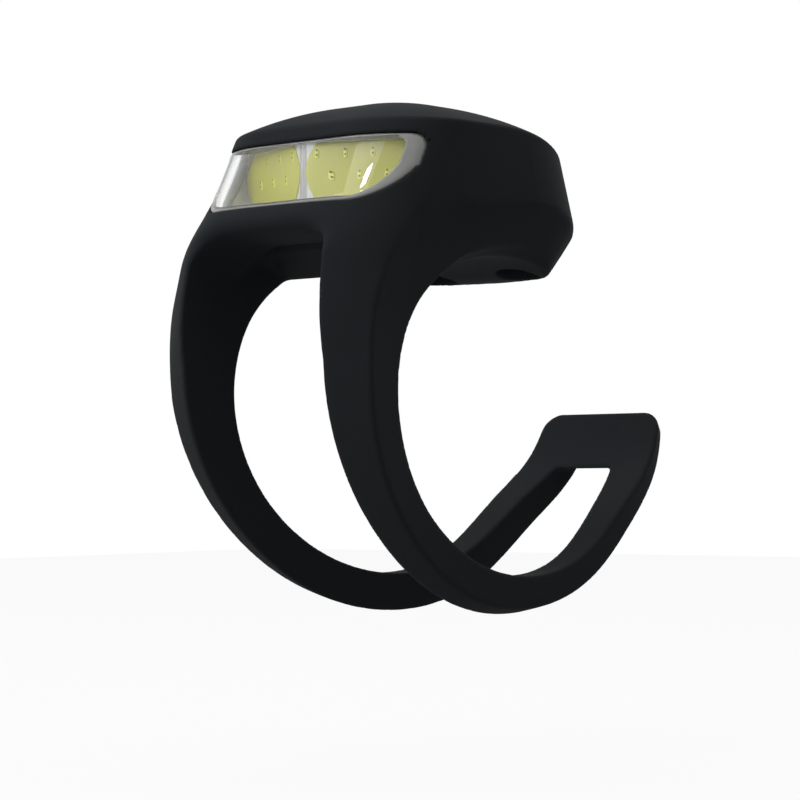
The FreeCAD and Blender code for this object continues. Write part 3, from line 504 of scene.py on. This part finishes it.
def strap_band(x, share, depth):
    """The strap with its crowned outer face, before its sides and its gap are cut."""
    outer = np.interp(share, *OUTER_TABLE)
    across = np.clip(np.abs(x) / outer, 0, CROWN_REACH)
    crown = np.interp(share, *CROWN_TABLE) * (1 - across ** np.interp(share, *FULLNESS_TABLE))
    band = depth - np.interp(share, *THICK_TABLE) - crown
    band = smooth_max(band, (share - 1.0) * LINE_LENGTH, BAND_END_ROUND)
    band = smooth_max(band, -share * LINE_LENGTH, BAND_END_ROUND)
    inner = np.interp(share, *INNER_TABLE)
    half = inner + (outer - inner) * depth / np.interp(share, *THICK_TABLE)
    tip_x = np.maximum(np.abs(x) - (half - TIP_ROUND), 0)
    tip_s = np.maximum((share - 1.0) * LINE_LENGTH + TIP_ROUND, 0)
    tip = np.hypot(tip_x, tip_s) - TIP_ROUND
    return np.maximum(band, np.where(share > TIP_SHARE, tip, -FAR))


def strap_gap(x, y, z, share, depth):
    """The opening between the legs, up to the chin and down to the slot's end in the tail."""
    full = np.interp(share, *THICK_TABLE) + np.interp(share, *CROWN_TABLE)
    gap_in = np.interp(share, *GAP_INNER_TABLE)
    gap_out = np.interp(share, *GAP_OUTER_TABLE)
    gap = np.abs(x) - (gap_in + (gap_out - gap_in) * np.clip(depth / full, 0, GAP_DEPTH_REACH))
    chin = (z - chin_height(y)) * CHIN_SCALE
    corner = CHIN_BLEND[0] + (CHIN_BLEND[1] - CHIN_BLEND[0]) * smooth_step(depth, *CHIN_BLEND_DEPTH)
    gap = smooth_max(gap, np.where(share < CHIN_END_SHARE, chin, -FAR), corner)
    slant = SLOT_END_SLANT * np.maximum(full - depth, 0)
    slot_end = ((share - GAP_STATIONS[-1]) * LINE_LENGTH + slant) * SLOT_END_SCALE
    gap = smooth_max(gap, slot_end, SLOT_END_ROUND)
    inward = -depth - REACH_IN - REACH_START_MORE * (share < REACH_START_SHARE)
    gap = np.where(y > REACH_Y, np.maximum(gap, inward), gap)
    return np.where(share < GAP_START_SHARE, FAR, gap)


def moulding(x, y, z):
    """The silicone moulding: the skin round the pod and the strap."""
    share, depth = SIDE_TABLE.look_up(y, z)
    share = np.where((y > 0) & (z > REAR_BODY_Z), -1.0, share)
    side = plan_distance(x, y, z)
    top = z - dome_surface(x, y)
    body = smooth_max(smooth_max(side, top, RIM_ROUND), np.interp(y, *LOW_EDGE) - z, LOW_EDGE_ROUND)
    solid = smooth_min(body, strap_band(x, share, depth), ROOT_BLEND)
    hollow, flank = saddle_and_flanks(x, y, z, share, depth)
    solid = smooth_max(solid, flank, FLANK_ROUND)
    solid = smooth_max(solid, hollow, HOLLOW_ROUND)
    edge = GAP_ROUND + CHIN_EDGE * smooth_step(z, *CHIN_EDGE_Z)
    solid = smooth_max(solid, -strap_gap(x, y, z, share, depth), edge)
    pocket = np.hypot(np.abs(x) - POCKET_X, y - POCKET_Y) - POCKET_RADIUS
    pocket = np.maximum(pocket, np.maximum(z - POCKET_TOP, POCKET_LOW - z))
    solid = smooth_max(solid, -pocket, POCKET_ROUND)
    window = np.maximum(window_outline(x, z), y - WINDOW_BACK_Y)
    solid = smooth_max(solid, -window, WINDOW_ROUND)
    cavity = np.maximum(np.maximum(side, flank) + SKIN_WALL, top + SKIN_WALL * TOP_WALL_SHARE)
    heel = (CAVITY_FLOOR + np.maximum(HEEL_Y - y, 0) * HEEL_SLOPE - z) * HEEL_SCALE
    solid = np.maximum(solid, -np.maximum(cavity, np.maximum(CAVITY_FLOOR - z, heel)))
    from_pad = np.hypot(x, y - PAD_Y)
    hole = np.maximum(from_pad - PAD_RADIUS, PAD_ROOM_Z - z)
    step = np.maximum(from_pad - PAD_FLANGE_RADIUS - PAD_GAP, z - PAD_LIP_Z)
    step = np.maximum(step, PAD_ROOM_Z - z)
    return smooth_max(solid, -np.minimum(hole, step), PAD_ROOM_ROUND)


def vee_depth(x, y):
    """Distance behind the light boards' faces, which stand in a V."""
    return (y - VEE_Y) * math.cos(VEE_ANGLE) - np.abs(x) * math.sin(VEE_ANGLE)


def inside_painted_edge(x, z):
    """Signed distance to the clear part of the window, inside the lens's opaque grey edge band of
    painted reflection.
    """
    return window_outline(x * WINDOW_HALF / (WINDOW_HALF - PAINTED_EDGE_END + PAINTED_EDGE_RIM), z) + PAINTED_EDGE_RIM


def window_lens(x, y, z):
    """The clear cover over the light boards."""
    front = plan_distance(x, y, z) + LENS_SINK + PAINTED_EDGE_PROUD
    shell = np.maximum(front, -front - LENS_WALL)
    return smooth_max(shell, inside_painted_edge(x, z) - LENS_TUCK, LENS_ROUND)


def painted_lens_edge(x, y, z):
    """The cover's edge band, opaque grey with painted reflection, which lines the window's opening.
    """
    front = plan_distance(x, y, z) + LENS_SINK
    band = smooth_max(front, window_outline(x, z) + LENS_FIT, LENS_EDGE)
    band = smooth_max(band, -inside_painted_edge(x, z) + LENS_FIT, PAINTED_EDGE_ROUND)
    return np.maximum(band, np.maximum(-front - PAINTED_EDGE_DEEP, y - WINDOW_BACK_Y + LENS_FIT))


def gel_outline(x, z, grow=0.0):
    """The gel's outline in the front view, both boards together."""
    top, low = [(wide + grow, tall + grow) for wide, tall in (GEL_TOP_CORNER, GEL_LOW_CORNER)]
    return rounded_outline(x, z, GEL_END + grow, GEL_LOW - grow, GEL_HIGH + grow, top, low)


def light_tray(x, y, z):
    """The pale frame round the gel, whose walls slope outwards to the lens's front."""
    deep = vee_depth(x, y)
    rim = window_outline(x, z) + 2 * LENS_FIT
    front = plan_distance(x, y, z) + LENS_SINK + PAINTED_EDGE_DEEP + LENS_FIT
    opening = gel_outline(x, z, TRAY_MARGIN) - TRAY_SPREAD * np.maximum(-deep, 0)
    walls = np.maximum(np.maximum(np.maximum(rim, front), -opening), deep - TRAY_BACK)
    strip = np.maximum(np.abs(x) - STRIP_HALF, np.abs(deep - STRIP_DEEP) - STRIP_DEEP)
    return np.minimum(walls, np.maximum(strip, rim))


# Meshes from the fields


def surface_nets(values, origin, step):
    """Closed quad mesh on the zero surface of a grid of values."""
    inside = values < 0
    nx, ny, nz = values.shape
    total = np.zeros((nx - 1, ny - 1, nz - 1, 3))
    count = np.zeros((nx - 1, ny - 1, nz - 1))
    corners = [(i, j, k) for i in (0, 1) for j in (0, 1) for k in (0, 1)]

    def corner(c, array):
        return array[c[0]:nx - 1 + c[0], c[1]:ny - 1 + c[1], c[2]:nz - 1 + c[2]]

    for a in corners:
        for axis in range(3):
            if a[axis]:
                continue
            b = tuple(1 if k == axis else a[k] for k in range(3))
            va, vb = corner(a, values), corner(b, values)
            crossed = corner(a, inside) != corner(b, inside)
            t = np.where(crossed, va / np.where(va == vb, 1, va - vb), 0)
            for k in range(3):
                place = a[k] + (t if k == axis else 0)
                total[..., k] += np.where(crossed, place, 0)
            count += crossed
    active = count > 0
    index = np.full(active.shape, -1)
    index[active] = np.arange(active.sum())
    cells = np.argwhere(active)
    verts = (cells + total[active] / count[active][:, None]) * step + np.array(origin)
    faces = []
    for axis in range(3):
        u, v = [k for k in range(3) if k != axis]
        a = inside.take(range(0, values.shape[axis] - 1), axis)
        b = inside.take(range(1, values.shape[axis]), axis)
        edge = np.argwhere(a != b)
        edge = edge[(edge[:, u] > 0) & (edge[:, v] > 0)]
        ring = []
        for du, dv in ((-1, -1), (0, -1), (0, 0), (-1, 0)):
            cell = edge.copy()
            cell[:, u] += du
            cell[:, v] += dv
            ring.append(index[tuple(np.minimum(cell, np.array(active.shape) - 1).T)])
        quads = np.stack(ring, axis=1)
        outward = a[tuple(edge.T)]
        if axis == 1:
            outward = ~outward
        quads[~outward] = quads[~outward][:, ::-1]
        faces.append(quads)
    return verts, np.concatenate(faces)


def gradient(field, points):
    """The field's slope at the points."""
    slope = np.empty_like(points)
    for k in range(3):
        shift = np.zeros(3)
        shift[k] = SLOPE_REACH
        slope[:, k] = (field(*(points + shift).T) - field(*(points - shift).T)) / (2 * SLOPE_REACH)
    return slope


def unit_slopes(field, points):
    """The surface's normals at the points."""
    slopes = gradient(field, points)
    return slopes / np.maximum(np.linalg.norm(slopes, axis=1), TINY)[:, None]


def settle(field, points, step):
    """Moves the points onto the zero surface."""
    for _ in range(SETTLE_ROUNDS):
        slope = gradient(field, points)
        size = np.maximum((slope ** 2).sum(axis=1), LEAST_SQUARE)
        move = (field(*points.T) / size)[:, None] * slope
        long = np.maximum(np.linalg.norm(move, axis=1) / (SETTLE_TRAVEL * step), 1.0)
        points = points - move / long[:, None]
    return points


def sharpen(field, points, faces, step):
    """Moves the points beside an edge onto the edge, where the surface's planes there meet."""
    normals = unit_slopes(field, points)
    bent = np.zeros(len(points), bool)
    for k in range(4):
        a, b = faces[:, k], faces[:, (k + 1) % 4]
        turned = (normals[a] * normals[b]).sum(axis=1) < EDGE_COSINE
        bent[a[turned]] = True
        bent[b[turned]] = True
    base = points[bent]
    planes = np.tile(np.eye(3) * EDGE_HOLD, (len(base), 1, 1))
    right = np.zeros((len(base), 3))
    for corner in ((i, j, k) for i in (-1, 1) for j in (-1, 1) for k in (-1, 1)):
        near = base + np.array(corner) * EDGE_REACH * step
        slope = gradient(field, near)
        size = np.maximum(np.linalg.norm(slope, axis=1), LEAST_SLOPE)
        normal = slope / size[:, None]
        height = ((near - base) * normal).sum(axis=1) - field(*near.T) / size
        planes += normal[:, :, None] * normal[:, None, :]
        right += normal * height[:, None]
    move = np.linalg.solve(planes, right[:, :, None])[:, :, 0]
    long = np.maximum(np.linalg.norm(move, axis=1) / (EDGE_TRAVEL * step), 1.0)
    points = points.copy()
    points[bent] = base + move / long[:, None]
    return points


def field_surface(field, low, high, step):
    """Points and quads on a field's zero surface. The field is the same on both sides of x = 0."""
    xs = np.arange(step / 2, high[0] + step, step)
    ys = np.arange(low[1], high[1] + step, step)
    zs = np.arange(low[2], high[2] + step, step)
    grid_y, grid_z = np.meshgrid(ys, zs, indexing="ij")
    values = np.stack([field(np.full_like(grid_y, x), grid_y, grid_z) for x in xs])
    values = np.concatenate([values[::-1], values])
    verts, faces = surface_nets(values, (-xs[-1], ys[0], zs[0]), step)
    return sharpen(field, settle(field, verts, step), faces, step), faces


def new_object(name, mesh):
    thing = bpy.data.objects.new(name, mesh)
    bpy.context.scene.collection.objects.link(thing)
    return thing


def plain_mesh(name, verts, faces):
    """A mesh from points in millimetres."""
    mesh = bpy.data.meshes.new(name)
    places = [tuple(v) for v in np.asarray(verts) * MM]
    mesh.from_pydata(places, [], [tuple(int(i) for i in f) for f in faces])
    mesh.update()
    return mesh


def smooth_by_field(mesh, field):
    """Shades a mesh by its field's own slope."""
    points = np.empty(len(mesh.vertices) * 3)
    mesh.vertices.foreach_get("co", points)
    normals = unit_slopes(field, points.reshape(-1, 3) / MM)
    for face in mesh.polygons:
        face.use_smooth = True
    mesh.normals_split_custom_set_from_vertices([tuple(n) for n in normals])


def dress(thing, material):
    if not thing.material_slots:
        thing.data.materials.append(material)
    for place in thing.material_slots:
        place.material = material


def finished_piece(name, mesh, slot, body=None, replaced=()):
    """A modelled piece in its slot's material, riding on its body."""
    piece = new_object(name, mesh)
    dress(piece, MATERIALS[slot])
    if replaced:
        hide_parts(*replaced)
    if body:
        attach(piece, body)
    return piece


def ring_mesh(name, stacks):
    """Closed shapes, each from a stack of loops from its underside to its top."""
    work = bmesh.new()
    for loops in stacks:
        rows = [[work.verts.new(Vector(p) * MM) for p in loop] for loop in loops]
        count = len(rows[0])
        for low, high in zip(rows, rows[1:]):
            for i in range(count):
                j = (i + 1) % count
                work.faces.new((low[i], low[j], high[j], high[i]))
        for row in (rows[0], rows[-1]):
            middle = work.verts.new(sum((v.co for v in row), Vector()) / count)
            for i in range(count):
                work.faces.new((row[i], row[(i + 1) % count], middle))
    bmesh.ops.recalc_face_normals(work, faces=work.faces)
    mesh = bpy.data.meshes.new(name)
    work.to_mesh(mesh)
    work.free()
    for face in mesh.polygons:
        face.use_smooth = True
    return mesh


# Materials

PATCH_DETAIL = 5.0
GRAIN_DETAIL = 3.0
SPOT_GAIN = 1.25
SPOT_LIFT = 0.002
GLOSS_RANGE = (0.85, 1.15)


def node_material(name, colour, rough, spots=None, grain=None, specular=0.5, metal=0.0,
                  clear=0.0, ior=1.5, patch_size=180.0):
    """A surface of two close colours in soft patches, with uneven gloss and any grain given."""
    material = bpy.data.materials.new(name)
    material.use_nodes = True
    nodes, links = material.node_tree.nodes, material.node_tree.links
    shader = nodes["Principled BSDF"]
    place = nodes.new("ShaderNodeTexCoord")
    patch = nodes.new("ShaderNodeTexNoise")
    patch.inputs["Scale"].default_value = patch_size
    patch.inputs["Detail"].default_value = PATCH_DETAIL
    links.new(place.outputs["Object"], patch.inputs["Vector"])
    mix = nodes.new("ShaderNodeMix")
    mix.data_type = "RGBA"
    other = spots or tuple(min(1.0, c * SPOT_GAIN + SPOT_LIFT) for c in colour)
    mix.inputs["A"].default_value = (*colour, 1)
    mix.inputs["B"].default_value = (*other, 1)
    links.new(patch.outputs["Fac"], mix.inputs["Factor"])
    links.new(mix.outputs["Result"], shader.inputs["Base Color"])
    gloss = nodes.new("ShaderNodeMapRange")
    gloss.inputs["To Min"].default_value = rough * GLOSS_RANGE[0]
    gloss.inputs["To Max"].default_value = rough * GLOSS_RANGE[1]
    links.new(patch.outputs["Fac"], gloss.inputs["Value"])
    links.new(gloss.outputs["Result"], shader.inputs["Roughness"])
    if grain:
        scale, strength, depth = grain
        fine = nodes.new("ShaderNodeTexNoise")
        fine.inputs["Scale"].default_value = scale
        fine.inputs["Detail"].default_value = GRAIN_DETAIL
        bump = nodes.new("ShaderNodeBump")
        bump.inputs["Strength"].default_value = strength
        bump.inputs["Distance"].default_value = depth
        links.new(place.outputs["Object"], fine.inputs["Vector"])
        links.new(fine.outputs["Fac"], bump.inputs["Height"])
        links.new(bump.outputs["Normal"], shader.inputs["Normal"])
    shader.inputs["Specular IOR Level"].default_value = specular
    shader.inputs["Metallic"].default_value = metal
    shader.inputs["Transmission Weight"].default_value = clear
    shader.inputs["IOR"].default_value = ior
    return material


SILICONE = dict(colour=(0.0114, 0.0132, 0.0148), spots=(0.0128, 0.0147, 0.0163), rough=0.8,
                grain=(5200.0, 0.12, 0.00002), specular=0.075, patch_size=60.0)
LOOKS = {
    "silicone_black": SILICONE,
    "seal_grey": dict(colour=(0.2, 0.2, 0.21), rough=0.6, specular=0.3,
                      grain=(3000.0, 0.2, 0.00003)),
    "pod_black": dict(colour=(0.018, 0.018, 0.02), rough=0.5, specular=0.4,
                      grain=(4200.0, 0.3, 0.00004)),
    "carrier_white": dict(colour=(0.78, 0.78, 0.76), rough=0.4, grain=(2600.0, 0.15, 0.00002)),
    "lens_clear": dict(colour=(0.975, 0.985, 0.985), spots=(0.96, 0.97, 0.97), rough=0.006,
                       specular=0.15, clear=1.0, ior=1.49, patch_size=90.0),
    "board_white": dict(colour=(0.8, 0.82, 0.82), spots=(0.74, 0.78, 0.76), rough=0.3,
                        patch_size=400.0),
    "phosphor_yellow": dict(colour=(0.57, 0.56, 0.035), spots=(0.52, 0.51, 0.032), rough=0.35,
                            grain=(900.0, 0.2, 0.00003), patch_size=240.0),
    "chip_pale": dict(colour=(0.84, 0.83, 0.03), spots=(0.7, 0.69, 0.03), rough=0.25,
                      patch_size=1500.0),
    "lead_amber": dict(colour=(0.5, 0.26, 0.05), spots=(0.6, 0.34, 0.08), rough=0.3,
                       patch_size=900.0),
    "board_green": dict(colour=(0.02, 0.17, 0.065), spots=(0.03, 0.22, 0.09), rough=0.3,
                        patch_size=700.0),
    "package_black": dict(colour=(0.03, 0.03, 0.03), rough=0.55, grain=(9000.0, 0.3, 0.00002)),
    "switch_metal": dict(colour=(0.6, 0.6, 0.61), rough=0.35, metal=1.0, patch_size=2200.0),
    "plunger_brown": dict(colour=(0.22, 0.11, 0.05), rough=0.5, grain=(5000.0, 0.2, 0.00002)),
    "spring_steel": dict(colour=(0.64, 0.63, 0.58), rough=0.3, metal=1.0, patch_size=1800.0),
    "cell_steel": dict(colour=(0.68, 0.68, 0.69), rough=0.2, metal=1.0, patch_size=600.0),
    "screw_steel": dict(colour=(0.52, 0.52, 0.53), rough=0.3, metal=1.0, patch_size=1500.0),
}
MATERIALS = {slot: node_material(slot, **look) for slot, look in LOOKS.items()}
TRAY_LOOK = dict(colour=(0.5, 0.49, 0.475), spots=(0.62, 0.61, 0.6), rough=0.3, patch_size=350.0)
# The edge band's grey is painted reflection: an opaque colour for the grey look of the clear lens's
# edge
PAINTED_EDGE_LOOK = dict(colour=(0.21, 0.21, 0.2), spots=(0.26, 0.26, 0.25), rough=0.25, patch_size=350.0)

for part in frame["record"]["subparts"]:
    dress(frame["nodes"][part["node"]], MATERIALS[part["material_slot"]])


# Silicone moulding


def cut_moulding(mesh, keep_front):
    """Keeps the body with the front of the legs, or the rest of the strap, and closes the cut."""
    work = bmesh.new()
    work.from_mesh(mesh)
    strap = [v for v in work.verts if v.co.z < SEAM_Z * MM]
    chosen = set(strap)
    edges = [e for e in work.edges if e.verts[0] in chosen and e.verts[1] in chosen]
    faces = [f for f in work.faces if all(v in chosen for v in f.verts)]
    cut = bmesh.ops.bisect_plane(work, geom=strap + edges + faces, plane_co=(0, SEAM_Y * MM, 0),
                                 plane_no=(0, 1, 0), dist=1e-7)
    seam = [g for g in cut["geom_cut"] if isinstance(g, bmesh.types.BMEdge)]
    bmesh.ops.split_edges(work, edges=seam)
    lost = []
    for v in work.verts:
        middle = sum((f.calc_center_median() for f in v.link_faces), Vector())
        middle /= max(len(v.link_faces), 1)
        behind = middle.y > SEAM_Y * MM and middle.z < SEAM_Z * MM
        if behind == keep_front:
            lost.append(v)
    bmesh.ops.delete(work, geom=lost, context="VERTS")
    ends = [e for e in work.edges if e.is_boundary]
    bmesh.ops.holes_fill(work, edges=ends, sides=0)
    bmesh.ops.triangulate(work, faces=[f for f in work.faces if len(f.verts) > 4])
    work.to_mesh(mesh)
    work.free()


whole = plain_mesh("moulding", *field_surface(moulding, LOW_CORNER, HIGH_CORNER, GRID_STEP))
halves = []
for name, keep_front in (("silicone_body", True), ("silicone_tail", False)):
    mesh = whole.copy()
    mesh.name = name
    cut_moulding(mesh, keep_front)
    smooth_by_field(mesh, moulding)
    halves.append(mesh)
bpy.data.meshes.remove(whole)
body_piece = finished_piece("silicone_body", halves[0], "silicone_black",
                            replaced=("rubber_skin", "strap_leg_right", "strap_leg_left"))
tail_piece = finished_piece("silicone_tail", halves[1], "silicone_black", replaced=("strap_tail",))
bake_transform(body_piece)
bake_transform(tail_piece)


# Press pad


def pad_loop(radius, level=None, below=0.0):
    """A circle on the pad's axis, at a level or, without one, that far below the dome."""
    loop = []
    for i in range(PAD_SIDES):
        turn = 2 * math.pi * i / PAD_SIDES
        x, y = radius * math.cos(turn), PAD_Y + radius * math.sin(turn)
        z = float(dome_surface(np.array(x), np.array(y))) - below if level is None else level
        loop.append((x, y, z))
    return loop


stem = PAD_RADIUS - PAD_GAP
pad_loops = [
    pad_loop(PAD_NUB_RADIUS, PAD_NUB_Z), pad_loop(PAD_NUB_RADIUS, PAD_FLANGE[0]),
    pad_loop(PAD_FLANGE_RADIUS, PAD_FLANGE[0]), pad_loop(PAD_FLANGE_RADIUS, PAD_FLANGE[1]),
    pad_loop(stem, PAD_FLANGE[1]),
]
pad_loops += [pad_loop(stem - inset, below=below) for inset, below in PAD_EDGE]
pad_loops += [pad_loop(stem * share) for share in PAD_FACE_SHARES]
pad_mesh = ring_mesh("silicone_pad", [pad_loops])
finished_piece("silicone_pad", pad_mesh, "silicone_black", "mode_pad", ("press_pad",))


# Window


def field_piece(name, field, slot, replaced=()):
    """A piece of the window, whose surface is a field's zero surface."""
    mesh = plain_mesh(name, *field_surface(field, GLASS_LOW_CORNER, GLASS_HIGH_CORNER, WINDOW_STEP))
    smooth_by_field(mesh, field)
    return finished_piece(name, mesh, slot, "light_body", replaced)


def on_board(along, height, z, side):
    """A point that stands a height proud of the right (side 1) or left (side -1) light board."""
    x = along * math.cos(VEE_ANGLE) + height * math.sin(VEE_ANGLE)
    y = VEE_Y + along * math.sin(VEE_ANGLE) - height * math.cos(VEE_ANGLE)
    return side * x, y, z


def gel_loop(inset, height, side):
    """The gel's outline on its board, drawn in by the inset."""
    middle, half = (GEL_LOW + GEL_HIGH) / 2, (GEL_HIGH - GEL_LOW) / 2 - inset
    flat = []
    for i in range(2 * GEL_BOW_STEPS + 1):
        t = 1 - i / GEL_BOW_STEPS
        flat.append((GEL_START + inset + GEL_BULGE * t * t, middle - half * t))
    for wide, tall, up in ((*GEL_TOP_CORNER, 1), (*GEL_LOW_CORNER, -1)):
        a, b = wide - inset, tall - inset
        corner_x = GEL_END - wide
        corner_z = middle + up * (half + inset - tall)
        turns = [math.pi / 2 * i / GEL_CORNER_STEPS for i in range(GEL_CORNER_STEPS + 1)]
        arc = [(corner_x + a * math.sin(t), corner_z + up * b * math.cos(t)) for t in turns]
        flat += arc if up > 0 else arc[::-1]
    return [on_board(x / math.cos(VEE_ANGLE), height, z, side) for x, z in flat]


def block_stack(along, z, half_long, half_tall, profile, side):
    """A rounded block's outlines on a light board, from its underside to its top."""
    loops = []
    for inset, height in profile:
        loop = []
        for i in range(BLOCK_SIDES):
            turn = 2 * math.pi * (i + 0.5) / BLOCK_SIDES
            u = math.copysign(abs(math.cos(turn)) ** BLOCK_POWER, math.cos(turn))
            w = math.copysign(abs(math.sin(turn)) ** BLOCK_POWER, math.sin(turn))
            place = along + (half_long - inset) * u
            loop.append(on_board(place, height, z + (half_tall - inset) * w, side))
        loops.append(loop)
    return loops


def die_places():
    """The chips' places on a light board: how far along it, and z."""
    for rise, shift in DIE_ROWS:
        for i in range(DIE_COUNT):
            yield DIE_START + shift + i * DIE_PITCH, DIE_MIDDLE + rise


field_piece("clear_lens", window_lens, "lens_clear", ("window_lens",))
# The lens's edge band: an opaque grey piece with painted reflection
painted_band = field_piece("painted_lens_edge", painted_lens_edge, "lens_clear")
dress(painted_band, node_material("painted_lens_edge", **PAINTED_EDGE_LOOK))
tray = field_piece("light_tray", light_tray, "carrier_white")
dress(tray, node_material("tray_grey", **TRAY_LOOK))
for hand, side in (("right", 1), ("left", -1)):
    loops = [gel_loop(inset, height, side) for inset, height in GEL_PROFILE]
    gel = ring_mesh("gel_" + hand, [loops])
    finished_piece("gel_" + hand, gel, "phosphor_yellow", "light_body", ("phosphor_" + hand,))
    stacks = [block_stack(along, z, DIE_SIZE / 2, DIE_SIZE, DIE_PROFILE, side)
              for along, z in die_places()]
    dies = ring_mesh("led_dies_" + hand, stacks)
    finished_piece("led_dies_" + hand, dies, "chip_pale", "light_body", ("led_chips_" + hand,))
    stacks = [block_stack(along, z + rise, DOT_SIZE / 2, DOT_SIZE / 2, DOT_PROFILE, side)
              for along, z in die_places() for rise in (DOT_DROP, -DOT_DROP / 3)]
    dots = ring_mesh("bond_dots_" + hand, stacks)
    finished_piece("bond_dots_" + hand, dots, "package_black", "light_body")


# Camera


def make_camera():
    azimuth = math.radians(CAMERA_AZIMUTH)
    elevation = math.radians(CAMERA_ELEVATION)
    roll = math.radians(CAMERA_ROLL)
    back = Vector((math.sin(azimuth) * math.cos(elevation),
                   -math.cos(azimuth) * math.cos(elevation), math.sin(elevation)))
    right = Vector((math.cos(azimuth), math.sin(azimuth), 0))
    up = back.cross(right)
    image_right = right * math.cos(roll) - up * math.sin(roll)
    image_up = right * math.sin(roll) + up * math.cos(roll)
    data = bpy.data.cameras.new("camera")
    data.lens = CAMERA_LENS
    data.sensor_width = CAMERA_SENSOR
    data.clip_start = CAMERA_NEAR * MM
    camera = bpy.data.objects.new("camera", data)
    turn = Matrix((image_right, image_up, back)).transposed().to_4x4()
    camera.matrix_world = Matrix.Translation(Vector(CAMERA_PLACE) * MM) @ turn
    bpy.context.scene.collection.objects.link(camera)
    bpy.context.scene.camera = camera


make_camera()


# Light and floor


def area_light(name, place, target, size, power, mirrored):
    data = bpy.data.lights.new(name, "AREA")
    data.shape = "RECTANGLE"
    data.size, data.size_y = size
    data.energy = power
    lamp = bpy.data.objects.new(name, data)
    lamp.location = place
    aim = Vector(target) - Vector(place)
    lamp.rotation_euler = aim.to_track_quat("-Z", "Y").to_euler()
    lamp.visible_glossy = mirrored
    bpy.context.scene.collection.objects.link(lamp)


def white_to_camera(tree, plain_shader):
    """A mix of the plain shader, which lights the scene, and one that is seen or mirrored."""
    nodes, links = tree.nodes, tree.links
    path = nodes.new("ShaderNodeLightPath")
    seen = path.outputs["Is Camera Ray"]
    for kind in ("Is Glossy Ray", "Is Transmission Ray"):
        either = nodes.new("ShaderNodeMath")
        either.operation = "MAXIMUM"
        links.new(seen, either.inputs[0])
        links.new(path.outputs[kind], either.inputs[1])
        seen = either.outputs[0]
    mix = nodes.new("ShaderNodeMixShader")
    links.new(seen, mix.inputs[0])
    links.new(plain_shader, mix.inputs[1])
    return mix


def make_world():
    """A soft even light all round, seen as white."""
    world = bpy.data.worlds.new("studio")
    world.use_nodes = True
    bpy.context.scene.world = world
    tree = world.node_tree
    tree.nodes.clear()
    plain = tree.nodes.new("ShaderNodeBackground")
    plain.inputs["Color"].default_value = (1, 1, 1, 1)
    plain.inputs["Strength"].default_value = WORLD_LEVEL
    white = tree.nodes.new("ShaderNodeBackground")
    white.inputs["Color"].default_value = (1, 1, 1, 1)
    white.inputs["Strength"].default_value = 1.0
    mix = white_to_camera(tree, plain.outputs[0])
    tree.links.new(white.outputs[0], mix.inputs[2])
    out = tree.nodes.new("ShaderNodeOutputWorld")
    tree.links.new(mix.outputs[0], out.inputs[0])


def make_floor():
    """A pale floor that looks nearly white to the camera and keeps some of the object's shadow."""
    level = cad_box[0][2] - FLOOR_ROOM * MM
    work = bmesh.new()
    bmesh.ops.create_grid(work, x_segments=1, y_segments=1, size=FLOOR_HALF)
    mesh = bpy.data.meshes.new("floor")
    work.to_mesh(mesh)
    work.free()
    floor = new_object("floor", mesh)
    floor.location = (0, 0, level)
    paper = node_material("floor_paper", **FLOOR_LOOK)
    nodes, links = paper.node_tree.nodes, paper.node_tree.links
    white = nodes.new("ShaderNodeEmission")
    white.inputs["Strength"].default_value = 1.0
    path = nodes.new("ShaderNodeLightPath")
    share = nodes.new("ShaderNodeMath")
    share.operation = "MULTIPLY"
    share.inputs[1].default_value = FLOOR_WHITE
    mix = nodes.new("ShaderNodeMixShader")
    links.new(path.outputs["Is Camera Ray"], share.inputs[0])
    links.new(share.outputs[0], mix.inputs[0])
    links.new(nodes["Principled BSDF"].outputs[0], mix.inputs[1])
    links.new(white.outputs[0], mix.inputs[2])
    links.new(mix.outputs[0], nodes["Material Output"].inputs["Surface"])
    dress(floor, paper)


make_world()
make_floor()
area_light("top_light", **TOP_LIGHT)
area_light("left_light", **LEFT_LIGHT)
area_light("strip_light", **STRIP_LIGHT)
bpy.context.scene.view_settings.view_transform = "Standard"
